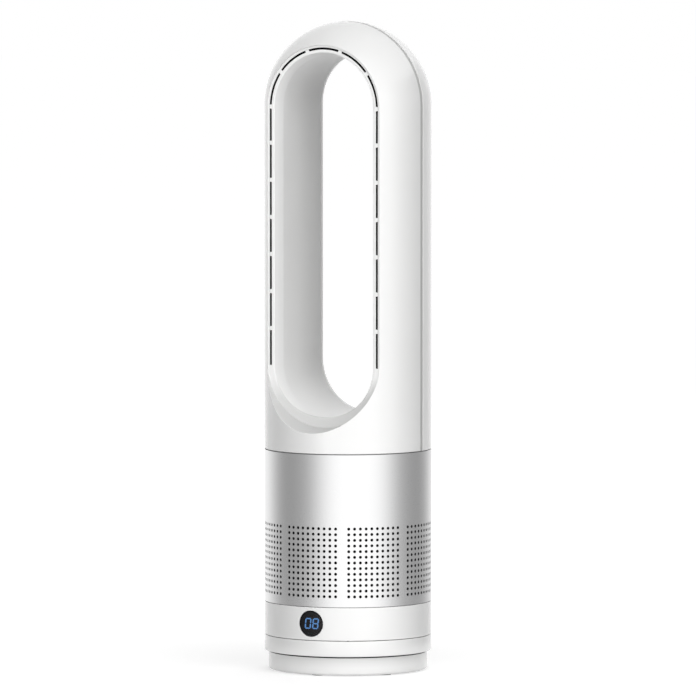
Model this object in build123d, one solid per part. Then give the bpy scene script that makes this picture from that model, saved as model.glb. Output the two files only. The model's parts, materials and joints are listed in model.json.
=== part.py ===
"""Bladeless tower fan: a capsule-shaped head with a tall stadium opening and a slotted ring nozzle, on a
round column that swings on a fixed foot. Millimetres, +Z up, front towards -Y, origin at the centre of the
footprint on the floor.

Air enters the perforated sleeve, passes the mixed-flow impeller and its diffuser, fills the hollow head and
leaves through the slots round the opening. A small geared motor walks its pinion along a toothed sector in
the foot to swing everything above the foot.
"""

import os
from math import acos, atan2, cos, degrees, hypot, pi, radians, sin, tan

from build123d import *

# ---------------------------------------------------------------- driving dimensions
BODY_R = 83.5  # outer radius of the head, sleeve, control band and turntable skirt
PAD_DROP = 1.0  # how far the rubber pads stand out under the foot
FOOT_SHOW = 19.0  # height of the foot below the skirt
SKIRT_H = 16.0  # turntable skirt
BAND_H = 33.5  # control band with the display
SLEEVE_H = 152.5  # aluminium sleeve
HEAD_H = 428.0  # head, from its lower edge to its crown
WALL_T = 2.5  # walls of the plastic mouldings
HEAD_T = 2.4  # walls of the head shells
FIT_GAP = 0.2  # between fixed pieces that slide together
RUN_GAP = 0.3  # between pieces that turn past each other
EDGE_BREAK = 0.5  # chamfer along the visible seams
CUT = 1.0  # cuts run this far past the faces they open
PAST = 10.0  # large cutting forms reach this far past the object
MELD = 0.1  # pieces of one moulding reach this far into each other

# foot and swing bearing
SKIRT_GAP = 1.5  # radial gap between foot and skirt
FOOT_EDGE_R = 3.0  # rounded lower edge of the foot
DECK_RISE = 6.0  # underside of the turntable floor above the skirt's lower edge
HUB_R = 16.0  # hollow hub that the turntable turns on
HUB_BORE_R = 11.0
HUB_LEN = 16.0
HUB_PLAY = 0.1  # radial play of the hub in its boss
BOSS_T = 4.0
RETAINER_LIP = 5.0  # how far the retainer plate reaches past the hub
RETAINER_T = 2.5
WELL_GAP = 3.0  # free space round the retainer
WEB_T = 3.0
SEAT_W = 6.0  # width of the ring that carries the gear sector
COVER_T = 3.0
COVER_INSET = 0.2
COVER_RIM = 6.0  # cover beyond the gear seat
PAD_R = 7.0
PAD_SINK = 1.5
PAD_COUNT = 6
RACE_GAP = 1.1  # between the rib on the glide ring and the screw heads outside it
RACE_W = 8.0
RACE_T = 2.5
RACE_RIB_H = 2.3
RACE_RIB_W = 5.0
RACE_LIP = 1.2
RIB_COUNT = 8
RIB_T = 2.0
RIB_H = 9.0

# swing drive
GEAR_MODULE = 1.0
ADDENDUM = 0.95  # of the module
DEDENDUM = 1.25
GEAR_TEETH = 72  # full circle of the fixed sector
SECTOR_TEETH = 22
PINION_TEETH = 18
GEAR_T = 3.0
PINION_MARGIN = 0.6  # pinion past the sector's faces
GEAR_DROP = 2.0  # sector's top below the turntable floor
TOOTH_PLAY = 0.08  # taken off each flank
PRESSURE_ANGLE = 20.0
MOTOR_CAN_R = 14.0  # swing motor
MOTOR_CAN_H = 19.0
MOTOR_OFFSET = 8.0  # from its shaft to the middle of its can
MOTOR_EAR_SPAN = 35.0
MOTOR_EAR_W = 7.0
MOTOR_EAR_T = 0.8
MOTOR_LIFT = 3.0  # can above the turntable floor
MOTOR_EDGE = 1.0
MOTOR_PLUG_W = 14.6
MOTOR_PLUG_D = 5.0
MOTOR_PLUG_INSET = 2.0
SWING_SHAFT_R = 2.5
SWING_SHAFT_SEAT = 3.0  # how far the output shaft reaches into the motor
SWING_BOSS_R = 4.5
SWING_BOSS_H = 1.5

# power inlet and lead
INLET_W = 10.0
INLET_D = 13.0
INLET_H = 11.0
INLET_Z = 10.0  # height of the socket's axis above the floor's upper face
INLET_NOSE_R = 4.2
INLET_BORE_R = 2.8
INLET_BORE_D = 9.5
INLET_PIN_R = 1.0
INLET_PIN_INSET = 1.5
INLET_NOSE_INSET = 0.3
LEAD_D = 2.4
LEAD_BEND = 7.0
LEAD_START = 7.0  # straight run behind the inlet
LEAD_SLOPE = 11.0  # run over which the lead drops to the floor
LEAD_PLUG = 3.0  # how far the lead reaches into the board socket
SOCKET_H = 6.0
SOCKET_W = 9.0

# screws
SCREW_R = 1.5
SCREW_HEAD_R = 2.8
SCREW_HEAD_H = 1.6
HEAD_CLEAR = 0.5  # round a screw head beside a wall
COVER_SCREW_L = 9.0
GEAR_SCREW_L = 7.0
GEAR_SCREW_ANGLE = 40.0  # between neighbouring screws of the sector
RETAINER_SCREW_L = 8.0
EAR_SCREW_L = 4.5
BOARD_SCREW_L = 7.0
POST_SCREW_L = 12.0
NECK_SCREW_L = 14.0
CARRIER_SCREW_L = 4.5

# electronics and display
BOARD_L = 92.0
BOARD_W = 58.0
BOARD_T = 1.6
BOARD_Y = -5.0  # middle of the board
BOARD_EDGE = 5.0  # screws from the board's edges
BOARD_CORNER_R = 3.0
CAPACITOR_R = 5.0
CAPACITOR_H = 12.0
PLUG_W = 8.0
PLUG_D = 6.0
PLUG_H = 7.0
PLUG_PITCH = 12.0
PLUG_INSET = 1.0  # plugs from the board's back edge
CAN_SPACING = 12.0  # between the capacitors
SINK_W = 16.0
SINK_D = 8.0
SINK_T = 3.0
FIN_H = 14.0
FIN_T = 1.5
FIN_PITCH = 4.0
CHIP_W = 11.0
CHIP_H = 1.5
STANDOFF_R = 3.2
STANDOFF_H = 16.5
DECK_HOLE_R = 6.0  # wires pass through the band's deck here
BOSS_POST_R = 4.0  # posts of the control band
BOSS_POST_INSET = 4.0  # from the band's inner wall
LENS_R = 13.0
LENS_INSET = 0.2  # lens below the band's surface
LENS_T = 3.1
LENS_SEAT = 0.8  # ledge that the lens rests on
DISPLAY_TUBE_L = 7.2
DIGITS_W = 18.0
DIGITS_H = 12.5
DIGIT_PITCH = 8.1
DIGIT_W = 5.4  # between the middle lines of a digit's upright bars
DIGIT_H = 9.6  # between the middle lines of its lowest and highest bars
DIGIT_SLANT = 6.0
SEGMENT_W = 1.2
SEGMENT_T = 0.3
SEGMENT_GAP = 0.15

# perforated sleeve: eight panels of holes, each a grid
SLEEVE_T = 1.0
PANELS = 8
PANEL_ANGLE = 36.0  # between the outermost hole columns of a panel
PANEL_Z = 44.0  # middle of the panels above the sleeve's lower edge
PANEL_H = 68.0  # between the outermost rows
HOLE_COLUMNS = 5
HOLE_ROWS = 7
HOLE_W = 5.0

# intake frame and the foam sleeve inside it
FRAME_W = 3.0
FRAME_H = 87.5
FRAME_RING_H = 6.0
FRAME_RIB_W = 3.0
FRAME_SHELF = 4.0  # how far the frame's top ring reaches in over the foam
FOAM_T = 3.0

# air path
MOUTH_R = 50.0
DUCT_INSET = 13.5  # from the body's surface to the inside of the duct
DUCT_T = 2.2
MOUTH_DROP = 6.0  # mouth below the frame's top
MOUTH_LIP_H = 5.0  # turned-out lip of the mouth
MOUTH_LIP_W = 4.0
MOUTH_LIP_SET = 1.5
FLARE_HEIGHT = 0.62  # where the duct's curve turns back, as a share of its height and of its widening
FLARE_WIDTH = 0.55
POST_EXTRA_R = 1.8  # wall of the screw posts
LEDGE_W = 2.0  # step that the diffuser rests on
DIFFUSER_H = 25.0
BUCKET_R = 42.0
VANES = 9
VANE_T = 1.8
VANE_TWIST = 22.0
VANE_FOOT = 0.5  # vanes above the diffuser's lower edge
VANE_HEAD = 2.0  # vanes below its upper edge
TAIL_H = 16.0
FLANGE_T = 2.5
FLANGE_INSET = 2.0  # upper flange and gasket inside the intake frame's radius
GASKET_T = 2.0
NECK_T = 3.0
NECK_WALL_H = 8.0

# impeller and its motor
BLADES = 9
BLADE_T = 1.6
BLADE_ROOT = 2.7  # how far the blades reach into the hub's nose
BLADE_BURY = 0.6  # how far the blades reach below the hub's surface
BLADE_BOW = 0.42  # share of the sweep reached half way out
BLADE_GAP = 1.2  # tip to duct
BLADE_SWEEP = 62.0  # backward sweep from root to tip
BLADE_TWIST = 18.0
HUB_NOSE_R = 9.0
HUB_NOSE_Z = 6.0  # nose above the mouth
HUB_RIM_SET = 1.0  # rim inside the motor bucket's radius
HUB_RECESS_R = 23.0
HUB_RECESS_D = 8.0
HUB_POST_T = 3.0  # wall round the shaft in the recess
NUT_INSET = 1.0  # nut inside the hub's nose
NUT_CHAMFER = 3.0
HUB_GAP = 1.5  # impeller to diffuser
SHAFT_R = 2.5
BEARING_R = 5.0
BEARING_H = 4.0
BEARING_PLAY = 0.05
CARRIER_T = 2.5
TUBE_T = 2.5  # wall of the tube that holds the bearings
TUBE_OVER = 1.0  # tube past the stator
STATOR_LIFT = 2.0  # stator above the carrier
CARRIER_R = 33.0
STATOR_R = 19.5
STATOR_H = 9.0
STATOR_POLES = 9
POLE_W = 3.2
COIL_W = 5.2
COIL_OVER = 1.0  # coils past the core's faces
CORE_T = 3.0
SHOE_T = 1.8
SLOT_MOUTH = 2.4
MAGNET_T = 1.4
AIR_GAP = 0.6
MAGNET_INSET = 1.5  # magnets above the carrier
CAN_LIFT = 1.0  # can above the carrier
CAN_T = 1.5
CAN_H = 17.0
CAN_WINDOWS = 6
CAN_WINDOW_R = 3.2
CAN_WINDOW_RING_R = 12.9

# head and nozzle
OPEN_RISE = 85.0  # centre of the opening's lower arc above the head's lower edge
SIDE_W = 32.0  # from the body's side to the narrowest part of the opening
LIP_INSET = 29.2  # plane of the slots behind the foremost line of the head
APERTURE_STEP = 9.2  # front recess past the throat, at the plane of the slots
RECESS_DRAFT = 9.4
SLOT_STEP = 7.5  # middle line of the slots past the throat
SLOT_GAP = 1.8
SLOT_SIDE_COUNT = 7
SLOT_ARC_COUNT = 5
SLOT_BRIDGE = 3.7
NOZZLE_T = 2.2
LIP_LAND = 1.8  # flat land of the nozzle beside the slots
LIP_ROUND = 1.0
CREST_RUN = 12.6  # depth of the sloping entry behind the lip
RIM_T = 2.2
RIM_D = 4.1
REAR_ROUND = 9.4  # rounded rear edge of the opening
NOZZLE_SEAT = 3.0  # nozzle's rear edge in front of the rear rounding
COLLAR_L = 8.0
COLLAR_T = 2.2
SEAL_T = 1.6
SEAL_L = 3.0
BRIDGE_GAP = 0.1  # slot bridges to the front shell
SEAM_RUN = 5.5  # the front shell is drawn in over this depth in front of the seam
SEAM_DROP = 0.9

# ---------------------------------------------------------------- derived levels and radii
FOOT_Z = PAD_DROP
SKIRT_Z = FOOT_Z + FOOT_SHOW
BAND_Z = SKIRT_Z + SKIRT_H
SLEEVE_Z = BAND_Z + BAND_H
HEAD_Z = SLEEVE_Z + SLEEVE_H
TOP_Z = HEAD_Z + HEAD_H
ARCH_Z = TOP_Z - BODY_R
LOWER_Z = HEAD_Z + OPEN_RISE
INNER_R = BODY_R - WALL_T
FOOT_R = INNER_R - SKIRT_GAP
FLOOR_TOP = FOOT_Z + WALL_T
TT_Z = SKIRT_Z + DECK_RISE
TT_TOP = TT_Z + WALL_T
WELL_R = HUB_R + RETAINER_LIP + WELL_GAP
POST_R = INNER_R - BOSS_POST_INSET - BOSS_POST_R
RACE_R = POST_R - SCREW_HEAD_R - RACE_GAP - (RACE_RIB_W + RACE_LIP) / 2
SEAT_R = WELL_R + SEAT_W
COVER_R = SEAT_R + COVER_RIM
COVER_TOP = FOOT_Z + COVER_INSET + COVER_T
COVER_RECESS_R = COVER_R + FIT_GAP
INLET_AXIS_Z = FLOOR_TOP + INLET_Z
INLET_BACK = FOOT_R - WALL_T - INLET_D
HUB_END_Z = TT_Z - HUB_LEN
RETAINER_Z = HUB_END_Z - RETAINER_T
WEB_Z = HUB_END_Z + RUN_GAP
GEAR_TOP = TT_Z - GEAR_DROP
GEAR_Z = GEAR_TOP - GEAR_T
GEAR_R = GEAR_MODULE * GEAR_TEETH / 2
PINION_R = GEAR_MODULE * PINION_TEETH / 2
PINION_Y = GEAR_R + PINION_R
PINION_Z = GEAR_Z - PINION_MARGIN
MOTOR_Y = PINION_Y + MOTOR_OFFSET
MOTOR_Z = TT_TOP + MOTOR_LIFT
SCREW_RING_R = WELL_R + SEAT_W / 2
HOLE_CLEAR = SCREW_R + FIT_GAP
RACE_TOP = TT_Z - RACE_RIB_H - FIT_GAP
RACE_Z = RACE_TOP - RACE_T
BOARD_Z = TT_TOP + STANDOFF_H
DECK_Z = SLEEVE_Z - WALL_T
LENS_Z = BAND_Z + BAND_H / 2
LENS_BACK = BODY_R - LENS_INSET - LENS_T
FRAME_R = BODY_R - SLEEVE_T - FIT_GAP
FRAME_TOP = SLEEVE_Z + FRAME_H
MOUTH_Z = FRAME_TOP - MOUTH_DROP
DIFFUSER_Z = HEAD_Z - DIFFUSER_H
DUCT_R = BODY_R - DUCT_INSET
LEDGE_R = DUCT_R - LEDGE_W
BUCKET_FLOOR = DIFFUSER_Z - WALL_T
IMPELLER_TOP = BUCKET_FLOOR - HUB_GAP
NOSE_Z = MOUTH_Z + HUB_NOSE_Z
CARRIER_TOP = DIFFUSER_Z + CARRIER_T
STATOR_Z = CARRIER_TOP + STATOR_LIFT
TUBE_TOP = STATOR_Z + STATOR_H + TUBE_OVER
TUBE_R = BEARING_R + TUBE_T
CAN_IN_R = STATOR_R + AIR_GAP + MAGNET_T
CAN_TOP = CARRIER_TOP + CAN_H
HEAD_IN_R = BODY_R - HEAD_T
THROAT_W = BODY_R - SIDE_W
LIP_DEPTH = BODY_R - LIP_INSET
APERTURE_W = THROAT_W + APERTURE_STEP
SLOT_W = THROAT_W + SLOT_STEP
SLOT_IN = SLOT_W - SLOT_GAP / 2
SLOT_OUT = SLOT_W + SLOT_GAP / 2


# ---------------------------------------------------------------- helpers
def ring(outer, inner, low, high):
    """A plain tube on the column's axis."""
    return Pos(0, 0, low) * extrude(Circle(outer) - Circle(inner), high - low)


def disc(radius, low, high, x=0.0, y=0.0):
    """A round disc or post standing at x, y."""
    return Pos(x, y, low) * extrude(Circle(radius), high - low)


def block(width, depth, low, high, x=0.0, y=0.0):
    """A rectangular block standing at x, y."""
    return Pos(x, y, (low + high) / 2) * Box(width, depth, high - low)


def along_y(radius, start, end, z):
    """A round bar along Y on the middle plane."""
    return Pos(0, start, z) * Rot(-90, 0, 0) * extrude(Circle(radius), end - start)


def turned(points):
    """A closed outline of (radius, height) points turned about the column's axis."""
    return revolve(Plane.XZ * make_face(Polyline(*points, close=True)), Axis.Z)


def around(count, radius, first=0.0):
    """Places on a circle about the column's axis."""
    return [Rot(0, 0, first + 360 * k / count) * Pos(radius, 0, 0) for k in range(count)]


def join(base, pieces):
    """One solid made of a base and the pieces that grow out of it."""
    for piece in pieces:
        base = base + piece
    return base


def screw(length):
    """A pan-head screw pointing down, its head seated at z = 0."""
    shank = Pos(0, 0, -length) * extrude(Circle(SCREW_R), length)
    head = extrude(Circle(SCREW_HEAD_R), SCREW_HEAD_H)
    return shank + chamfer(head.edges().group_by(Axis.Z)[-1], SCREW_HEAD_H / 3)


def screws(places, seat, length, flip=False):
    """A set of screws whose heads seat at one height. Flipped ones point up."""
    turn = Rot(180, 0, 0) if flip else Rot(0, 0, 0)
    return Compound([Pos(0, 0, seat) * place * turn * screw(length) for place in places])


def save(name, shape):
    """Writes one sub-part."""
    export_step(shape, f"parts/{name}.step")


# ---------------------------------------------------------------- foot
COVER_PLACES = around(3, SCREW_RING_R, first=30)
GEAR_PLACES = [Rot(0, 0, 90 + k * GEAR_SCREW_ANGLE) * Pos(SCREW_RING_R, 0, 0) for k in (-1, 0, 1)]
PAD_PLACES = around(PAD_COUNT, RACE_R, first=30)
COVER_SEAT = FOOT_Z + COVER_INSET + SCREW_HEAD_H


def make_foot_shell():
    tray = turned([(0, FOOT_Z), (FOOT_R, FOOT_Z), (FOOT_R, TT_Z - GEAR_DROP), (0, TT_Z - GEAR_DROP)])
    tray = fillet(tray.edges().group_by(Axis.Z)[0], FOOT_EDGE_R)
    tray -= disc(FOOT_R - WALL_T, FLOOR_TOP, TT_Z)
    root = FLOOR_TOP - WALL_T / 2
    half = RACE_W / 2
    race_wall = ring(RACE_R + WALL_T / 2, RACE_R - WALL_T / 2, root, RACE_Z)
    race_top = ring(RACE_R + half, RACE_R - half, RACE_Z - WALL_T, RACE_Z)
    rib_l = FOOT_R - WALL_T / 2 - SEAT_R
    rib = block(rib_l, RIB_T, root, FLOOR_TOP + RIB_H)
    ribs = [place * rib for place in around(RIB_COUNT, SEAT_R + rib_l / 2, first=180 / RIB_COUNT)]
    cover_roof = COVER_TOP + WALL_T
    tray = join(tray, [race_wall, race_top, *ribs, disc(COVER_RECESS_R + WALL_T, root, cover_roof)])
    tray += ring(SEAT_R, WELL_R, COVER_TOP, GEAR_Z)
    tray -= disc(COVER_RECESS_R, FOOT_Z - CUT, COVER_TOP)
    tray -= disc(WELL_R, FOOT_Z - CUT, GEAR_Z)
    bore = HUB_R + HUB_PLAY
    tray += ring(WELL_R + MELD, bore, WEB_Z, WEB_Z + WEB_T)
    tray += ring(bore + BOSS_T, bore, WEB_Z, GEAR_Z)
    back = FOOT_R - WALL_T
    inlet_low, inlet_high = INLET_AXIS_Z - INLET_H / 2, INLET_AXIS_Z + INLET_H / 2
    tray += block(INLET_W, INLET_D, root, inlet_low, y=back - INLET_D / 2)
    tray -= along_y(INLET_NOSE_R + FIT_GAP, back - CUT, FOOT_R + CUT, INLET_AXIS_Z)
    tray -= block(
        INLET_W + 2 * FIT_GAP, INLET_D + FIT_GAP, inlet_low, RACE_Z, y=back - (INLET_D + FIT_GAP) / 2
    )
    lead_slot = 2 * LEAD_D
    tray -= block(lead_slot, INLET_BACK, COVER_TOP, COVER_TOP + lead_slot, y=INLET_BACK / 2)
    run = INLET_BACK + CUT - COVER_R
    tray -= block(lead_slot, run, COVER_TOP, INLET_AXIS_Z + LEAD_D, y=COVER_R + run / 2)
    for place in PAD_PLACES:
        tray -= place * disc(PAD_R + FIT_GAP, FOOT_Z - CUT, FOOT_Z + PAD_SINK)
    for place in COVER_PLACES:
        tray -= place * disc(HOLE_CLEAR, COVER_TOP - CUT, COVER_SEAT + COVER_SCREW_L + FIT_GAP)
    for place in GEAR_PLACES:
        tray -= place * disc(HOLE_CLEAR, GEAR_Z - GEAR_SCREW_L, GEAR_Z + CUT)
    return tray


def make_foot_cover():
    cover = disc(COVER_R, FOOT_Z + COVER_INSET, COVER_TOP)
    for place in COVER_PLACES:
        cover -= place * disc(HOLE_CLEAR, 0, COVER_TOP + CUT)
        cover -= place * disc(SCREW_HEAD_R + FIT_GAP, 0, COVER_SEAT)
    return cover


def make_rubber_feet():
    pad = disc(PAD_R, 0, FOOT_Z + PAD_SINK)
    pad = chamfer(pad.edges().group_by(Axis.Z)[0], PAD_DROP / 2)
    return Compound([place * pad for place in PAD_PLACES])


def make_slide_ring():
    half = RACE_W / 2
    return turned(
        [
            (RACE_R - half, RACE_Z),
            (RACE_R + half, RACE_Z),
            (RACE_R + half, RACE_TOP),
            (RACE_R - half + RACE_LIP, RACE_TOP),
            (RACE_R - half + RACE_LIP, RACE_TOP + RACE_LIP),
            (RACE_R - half, RACE_TOP + RACE_LIP),
        ]
    )


# ---------------------------------------------------------------- swing gears
def involute_half_angle(teeth, radius):
    """Half the angle that a tooth fills at a radius, seen from the gear's centre."""
    pitch = GEAR_MODULE * teeth / 2
    base = pitch * cos(radians(PRESSURE_ANGLE))
    angle = acos(min(1.0, base / radius))
    at_pitch = tan(radians(PRESSURE_ANGLE)) - radians(PRESSURE_ANGLE)
    return pi / (2 * teeth) - TOOTH_PLAY / pitch + at_pitch - (tan(angle) - angle)


def polar(radius, angle):
    return (radius * cos(angle), radius * sin(angle))


def tooth_edges(teeth, middle):
    """One tooth, from its root on one side round to its root on the other."""
    pitch = GEAR_MODULE * teeth / 2
    base = pitch * cos(radians(PRESSURE_ANGLE))
    root, tip = pitch - DEDENDUM * GEAR_MODULE, pitch + ADDENDUM * GEAR_MODULE
    start = max(base, root)
    radii = (start, (start + tip) / 2, tip)
    half = [involute_half_angle(teeth, r) for r in radii]
    rise = [polar(r, middle - h) for r, h in zip(radii, half)]
    fall = [polar(r, middle + h) for r, h in zip(radii, half)][::-1]
    edges = [ThreePointArc(*rise), Line(rise[2], fall[0]), ThreePointArc(*fall)]
    foot_in, foot_out = polar(root, middle - half[0]), polar(root, middle + half[0])
    if root < base:
        edges = [Line(foot_in, rise[0]), *edges, Line(fall[2], foot_out)]
    return edges, (edges[0] @ 0, edges[-1] @ 1)


def toothed(teeth, middles):
    """The edges of a run of teeth, joined by straight roots, and the run's two ends."""
    edges, ends = [], []
    for middle in middles:
        tooth, (first, last) = tooth_edges(teeth, middle)
        if ends:
            edges.append(Line(ends[-1], first))
        edges += tooth
        ends += [first, last]
    return edges, ends[0], ends[-1]


def make_pinion():
    middles = [radians(270 + 360 * k / PINION_TEETH) for k in range(PINION_TEETH)]
    edges, first, last = toothed(PINION_TEETH, middles)
    outline = make_face(edges + [Line(last, first)]) - Circle(SWING_SHAFT_R)
    return Pos(0, PINION_Y, PINION_Z) * extrude(outline, GEAR_T + 2 * PINION_MARGIN)


def make_gear_sector():
    step = 2 * pi / GEAR_TEETH
    middles = [pi / 2 + (k - (SECTOR_TEETH - 1) / 2) * step for k in range(SECTOR_TEETH)]
    edges, first, last = toothed(GEAR_TEETH, middles)
    inner = WELL_R + FIT_GAP
    turn_in, turn_out = middles[0] - step / 2, middles[-1] + step / 2
    root = hypot(*tuple(first)[:2])
    start, end = polar(root, turn_in), polar(root, turn_out)
    edges += [
        Line(start, first),
        Line(last, end),
        Line(end, polar(inner, turn_out)),
        ThreePointArc(polar(inner, turn_out), polar(inner, pi / 2), polar(inner, turn_in)),
        Line(polar(inner, turn_in), start),
    ]
    sector = Pos(0, 0, GEAR_Z) * extrude(make_face(edges), GEAR_T)
    for place in GEAR_PLACES:
        sector -= place * disc(HOLE_CLEAR, GEAR_Z - CUT, GEAR_TOP + CUT)
        sector -= place * disc(SCREW_HEAD_R + FIT_GAP, GEAR_TOP - SCREW_HEAD_H, GEAR_TOP + CUT)
    return sector


# ---------------------------------------------------------------- power inlet
def make_dc_inlet():
    top, low = INLET_AXIS_Z + INLET_H / 2, INLET_AXIS_Z - INLET_H / 2
    body = block(INLET_W, INLET_D, low, top, y=INLET_BACK + INLET_D / 2)
    body += along_y(INLET_NOSE_R, FOOT_R - WALL_T, FOOT_R - INLET_NOSE_INSET, INLET_AXIS_Z)
    body -= along_y(INLET_BORE_R, FOOT_R - INLET_BORE_D, FOOT_R + CUT, INLET_AXIS_Z)
    return body


def make_inlet_pin():
    return along_y(INLET_PIN_R, FOOT_R - INLET_BORE_D, FOOT_R - INLET_PIN_INSET, INLET_AXIS_Z)


def make_power_lead():
    low_z = (COVER_TOP + RETAINER_Z) / 2
    route = [
        (0, INLET_BACK, INLET_AXIS_Z),
        (0, INLET_BACK - LEAD_START, INLET_AXIS_Z),
        (0, INLET_BACK - LEAD_START - LEAD_SLOPE, low_z),
        (0, 0, low_z),
        (0, 0, BOARD_Z - SOCKET_H + LEAD_PLUG),
    ]
    path = FilletPolyline(*route, radius=LEAD_BEND)
    return sweep(Plane(route[0], z_dir=(0, -1, 0)) * Circle(LEAD_D / 2), path=path)


# ---------------------------------------------------------------- turntable and swing motor
STANDOFF_PLACES = [
    Pos(sx * (BOARD_L / 2 - BOARD_EDGE), BOARD_Y + sy * (BOARD_W / 2 - BOARD_EDGE), 0)
    for sx in (-1, 1)
    for sy in (-1, 1)
]
POST_PLACES = around(4, POST_R, first=45)
EAR_PLACES = [Pos(s * MOTOR_EAR_SPAN / 2, MOTOR_Y, 0) for s in (-1, 1)]
RETAINER_PLACES = around(3, (HUB_R + HUB_BORE_R) / 2, first=90)


def make_turntable():
    skirt = ring(BODY_R, INNER_R, SKIRT_Z, BAND_Z)
    skirt = chamfer(skirt.edges().filter_by(GeomType.CIRCLE).group_by(SortBy.RADIUS)[-1], EDGE_BREAK)
    table = skirt + ring(INNER_R + MELD, HUB_BORE_R, TT_Z, TT_TOP)
    table += ring(HUB_R, HUB_BORE_R, HUB_END_Z, TT_Z)
    rib_mid = RACE_R + RACE_LIP / 2
    table += ring(rib_mid + RACE_RIB_W / 2, rib_mid - RACE_RIB_W / 2, TT_Z - RACE_RIB_H, TT_Z)
    table = join(table, [place * disc(STANDOFF_R, TT_TOP, BOARD_Z) for place in STANDOFF_PLACES])
    table = join(table, [place * disc(STANDOFF_R, TT_TOP, MOTOR_Z) for place in EAR_PLACES])
    table -= disc(SWING_BOSS_R + RUN_GAP, TT_Z - CUT, TT_TOP + CUT, y=PINION_Y)
    for place in STANDOFF_PLACES:
        table -= place * disc(HOLE_CLEAR, BOARD_Z - BOARD_SCREW_L, BOARD_Z + CUT)
    for place in EAR_PLACES:
        table -= place * disc(HOLE_CLEAR, MOTOR_Z + MOTOR_EAR_T - EAR_SCREW_L - FIT_GAP, MOTOR_Z + CUT)
    for place in POST_PLACES:
        table -= place * disc(HOLE_CLEAR, TT_Z - CUT, TT_TOP + CUT)
    for place in RETAINER_PLACES:
        table -= place * disc(HOLE_CLEAR, HUB_END_Z - CUT, HUB_END_Z + RETAINER_SCREW_L)
    return table


def make_hub_retainer():
    plate = ring(HUB_R + RETAINER_LIP, HUB_BORE_R, RETAINER_Z, HUB_END_Z)
    for place in RETAINER_PLACES:
        plate -= place * disc(HOLE_CLEAR, RETAINER_Z - CUT, HUB_END_Z + CUT)
        plate -= place * disc(SCREW_HEAD_R + FIT_GAP, RETAINER_Z - CUT, RETAINER_Z + SCREW_HEAD_H)
    return plate


def make_swing_motor():
    can = disc(MOTOR_CAN_R, MOTOR_Z, MOTOR_Z + MOTOR_CAN_H, y=MOTOR_Y)
    can = chamfer(can.edges().group_by(Axis.Z)[-1], MOTOR_EDGE)
    ears = block(MOTOR_EAR_SPAN, MOTOR_EAR_W, MOTOR_Z, MOTOR_Z + MOTOR_EAR_T, y=MOTOR_Y)
    tips = [place * disc(MOTOR_EAR_W / 2, MOTOR_Z, MOTOR_Z + MOTOR_EAR_T) for place in EAR_PLACES]
    boss = disc(SWING_BOSS_R, MOTOR_Z - SWING_BOSS_H, MOTOR_Z, y=PINION_Y)
    plug_low, plug_high = MOTOR_Z + MOTOR_PLUG_INSET, MOTOR_Z + MOTOR_CAN_H - MOTOR_PLUG_INSET
    plug = block(MOTOR_PLUG_W, MOTOR_PLUG_D, plug_low, plug_high, y=MOTOR_Y + MOTOR_CAN_R)
    motor = join(can, [ears, *tips, boss, plug])
    socket_top = MOTOR_Z + SWING_SHAFT_SEAT + FIT_GAP
    motor -= disc(SWING_SHAFT_R + BEARING_PLAY, MOTOR_Z - SWING_BOSS_H - CUT, socket_top, y=PINION_Y)
    for place in EAR_PLACES:
        motor -= place * disc(HOLE_CLEAR, MOTOR_Z - CUT, MOTOR_Z + CUT)
    return motor


def make_swing_shaft():
    return disc(SWING_SHAFT_R, PINION_Z, MOTOR_Z + SWING_SHAFT_SEAT, y=PINION_Y)


# ---------------------------------------------------------------- electronics
def make_main_board():
    board = block(BOARD_L, BOARD_W, BOARD_Z, BOARD_Z + BOARD_T, y=BOARD_Y)
    board = fillet(board.edges().filter_by(Axis.Z), BOARD_CORNER_R)
    for place in STANDOFF_PLACES:
        board -= place * disc(HOLE_CLEAR, BOARD_Z - CUT, BOARD_Z + BOARD_T + CUT)
    return board


def make_board_components():
    """Two capacitors, a row of plugs along the back edge, a finned heat sink and the controller chip."""
    low = BOARD_Z + BOARD_T
    left, right = -BOARD_L / 4, BOARD_L / 4
    front, back = BOARD_Y - BOARD_W / 4, BOARD_Y + BOARD_W / 2 - PLUG_D / 2 - PLUG_INSET
    can = disc(CAPACITOR_R, low, low + CAPACITOR_H, x=left, y=front)
    cans = [Pos(side * CAN_SPACING / 2, 0, 0) * can for side in (-1, 1)]
    plugs = [block(PLUG_W, PLUG_D, low, low + PLUG_H, x=k * PLUG_PITCH, y=back) for k in range(-2, 3)]
    sink = block(SINK_W, SINK_D, low, low + SINK_T, x=right, y=front)
    fins = [
        block(FIN_T, SINK_D, low, low + FIN_H, x=right + (k - 1.5) * FIN_PITCH, y=front) for k in range(4)
    ]
    chip = block(CHIP_W, CHIP_W, low, low + CHIP_H, y=BOARD_Y)
    return Compound([*cans, *plugs, join(sink, fins), chip])


def make_board_socket():
    socket = block(SOCKET_W, SOCKET_W, BOARD_Z - SOCKET_H, BOARD_Z)
    return socket - disc(LEAD_D / 2 + RUN_GAP, BOARD_Z - SOCKET_H - CUT, BOARD_Z - CUT)


# ---------------------------------------------------------------- control band and display
def facing_disc(radius, near, far):
    """A round slice on the display's axis, between two distances in front of the column's axis."""
    return Plane.XZ.offset(near) * Pos(0, LENS_Z) * extrude(Circle(radius), far - near)


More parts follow.
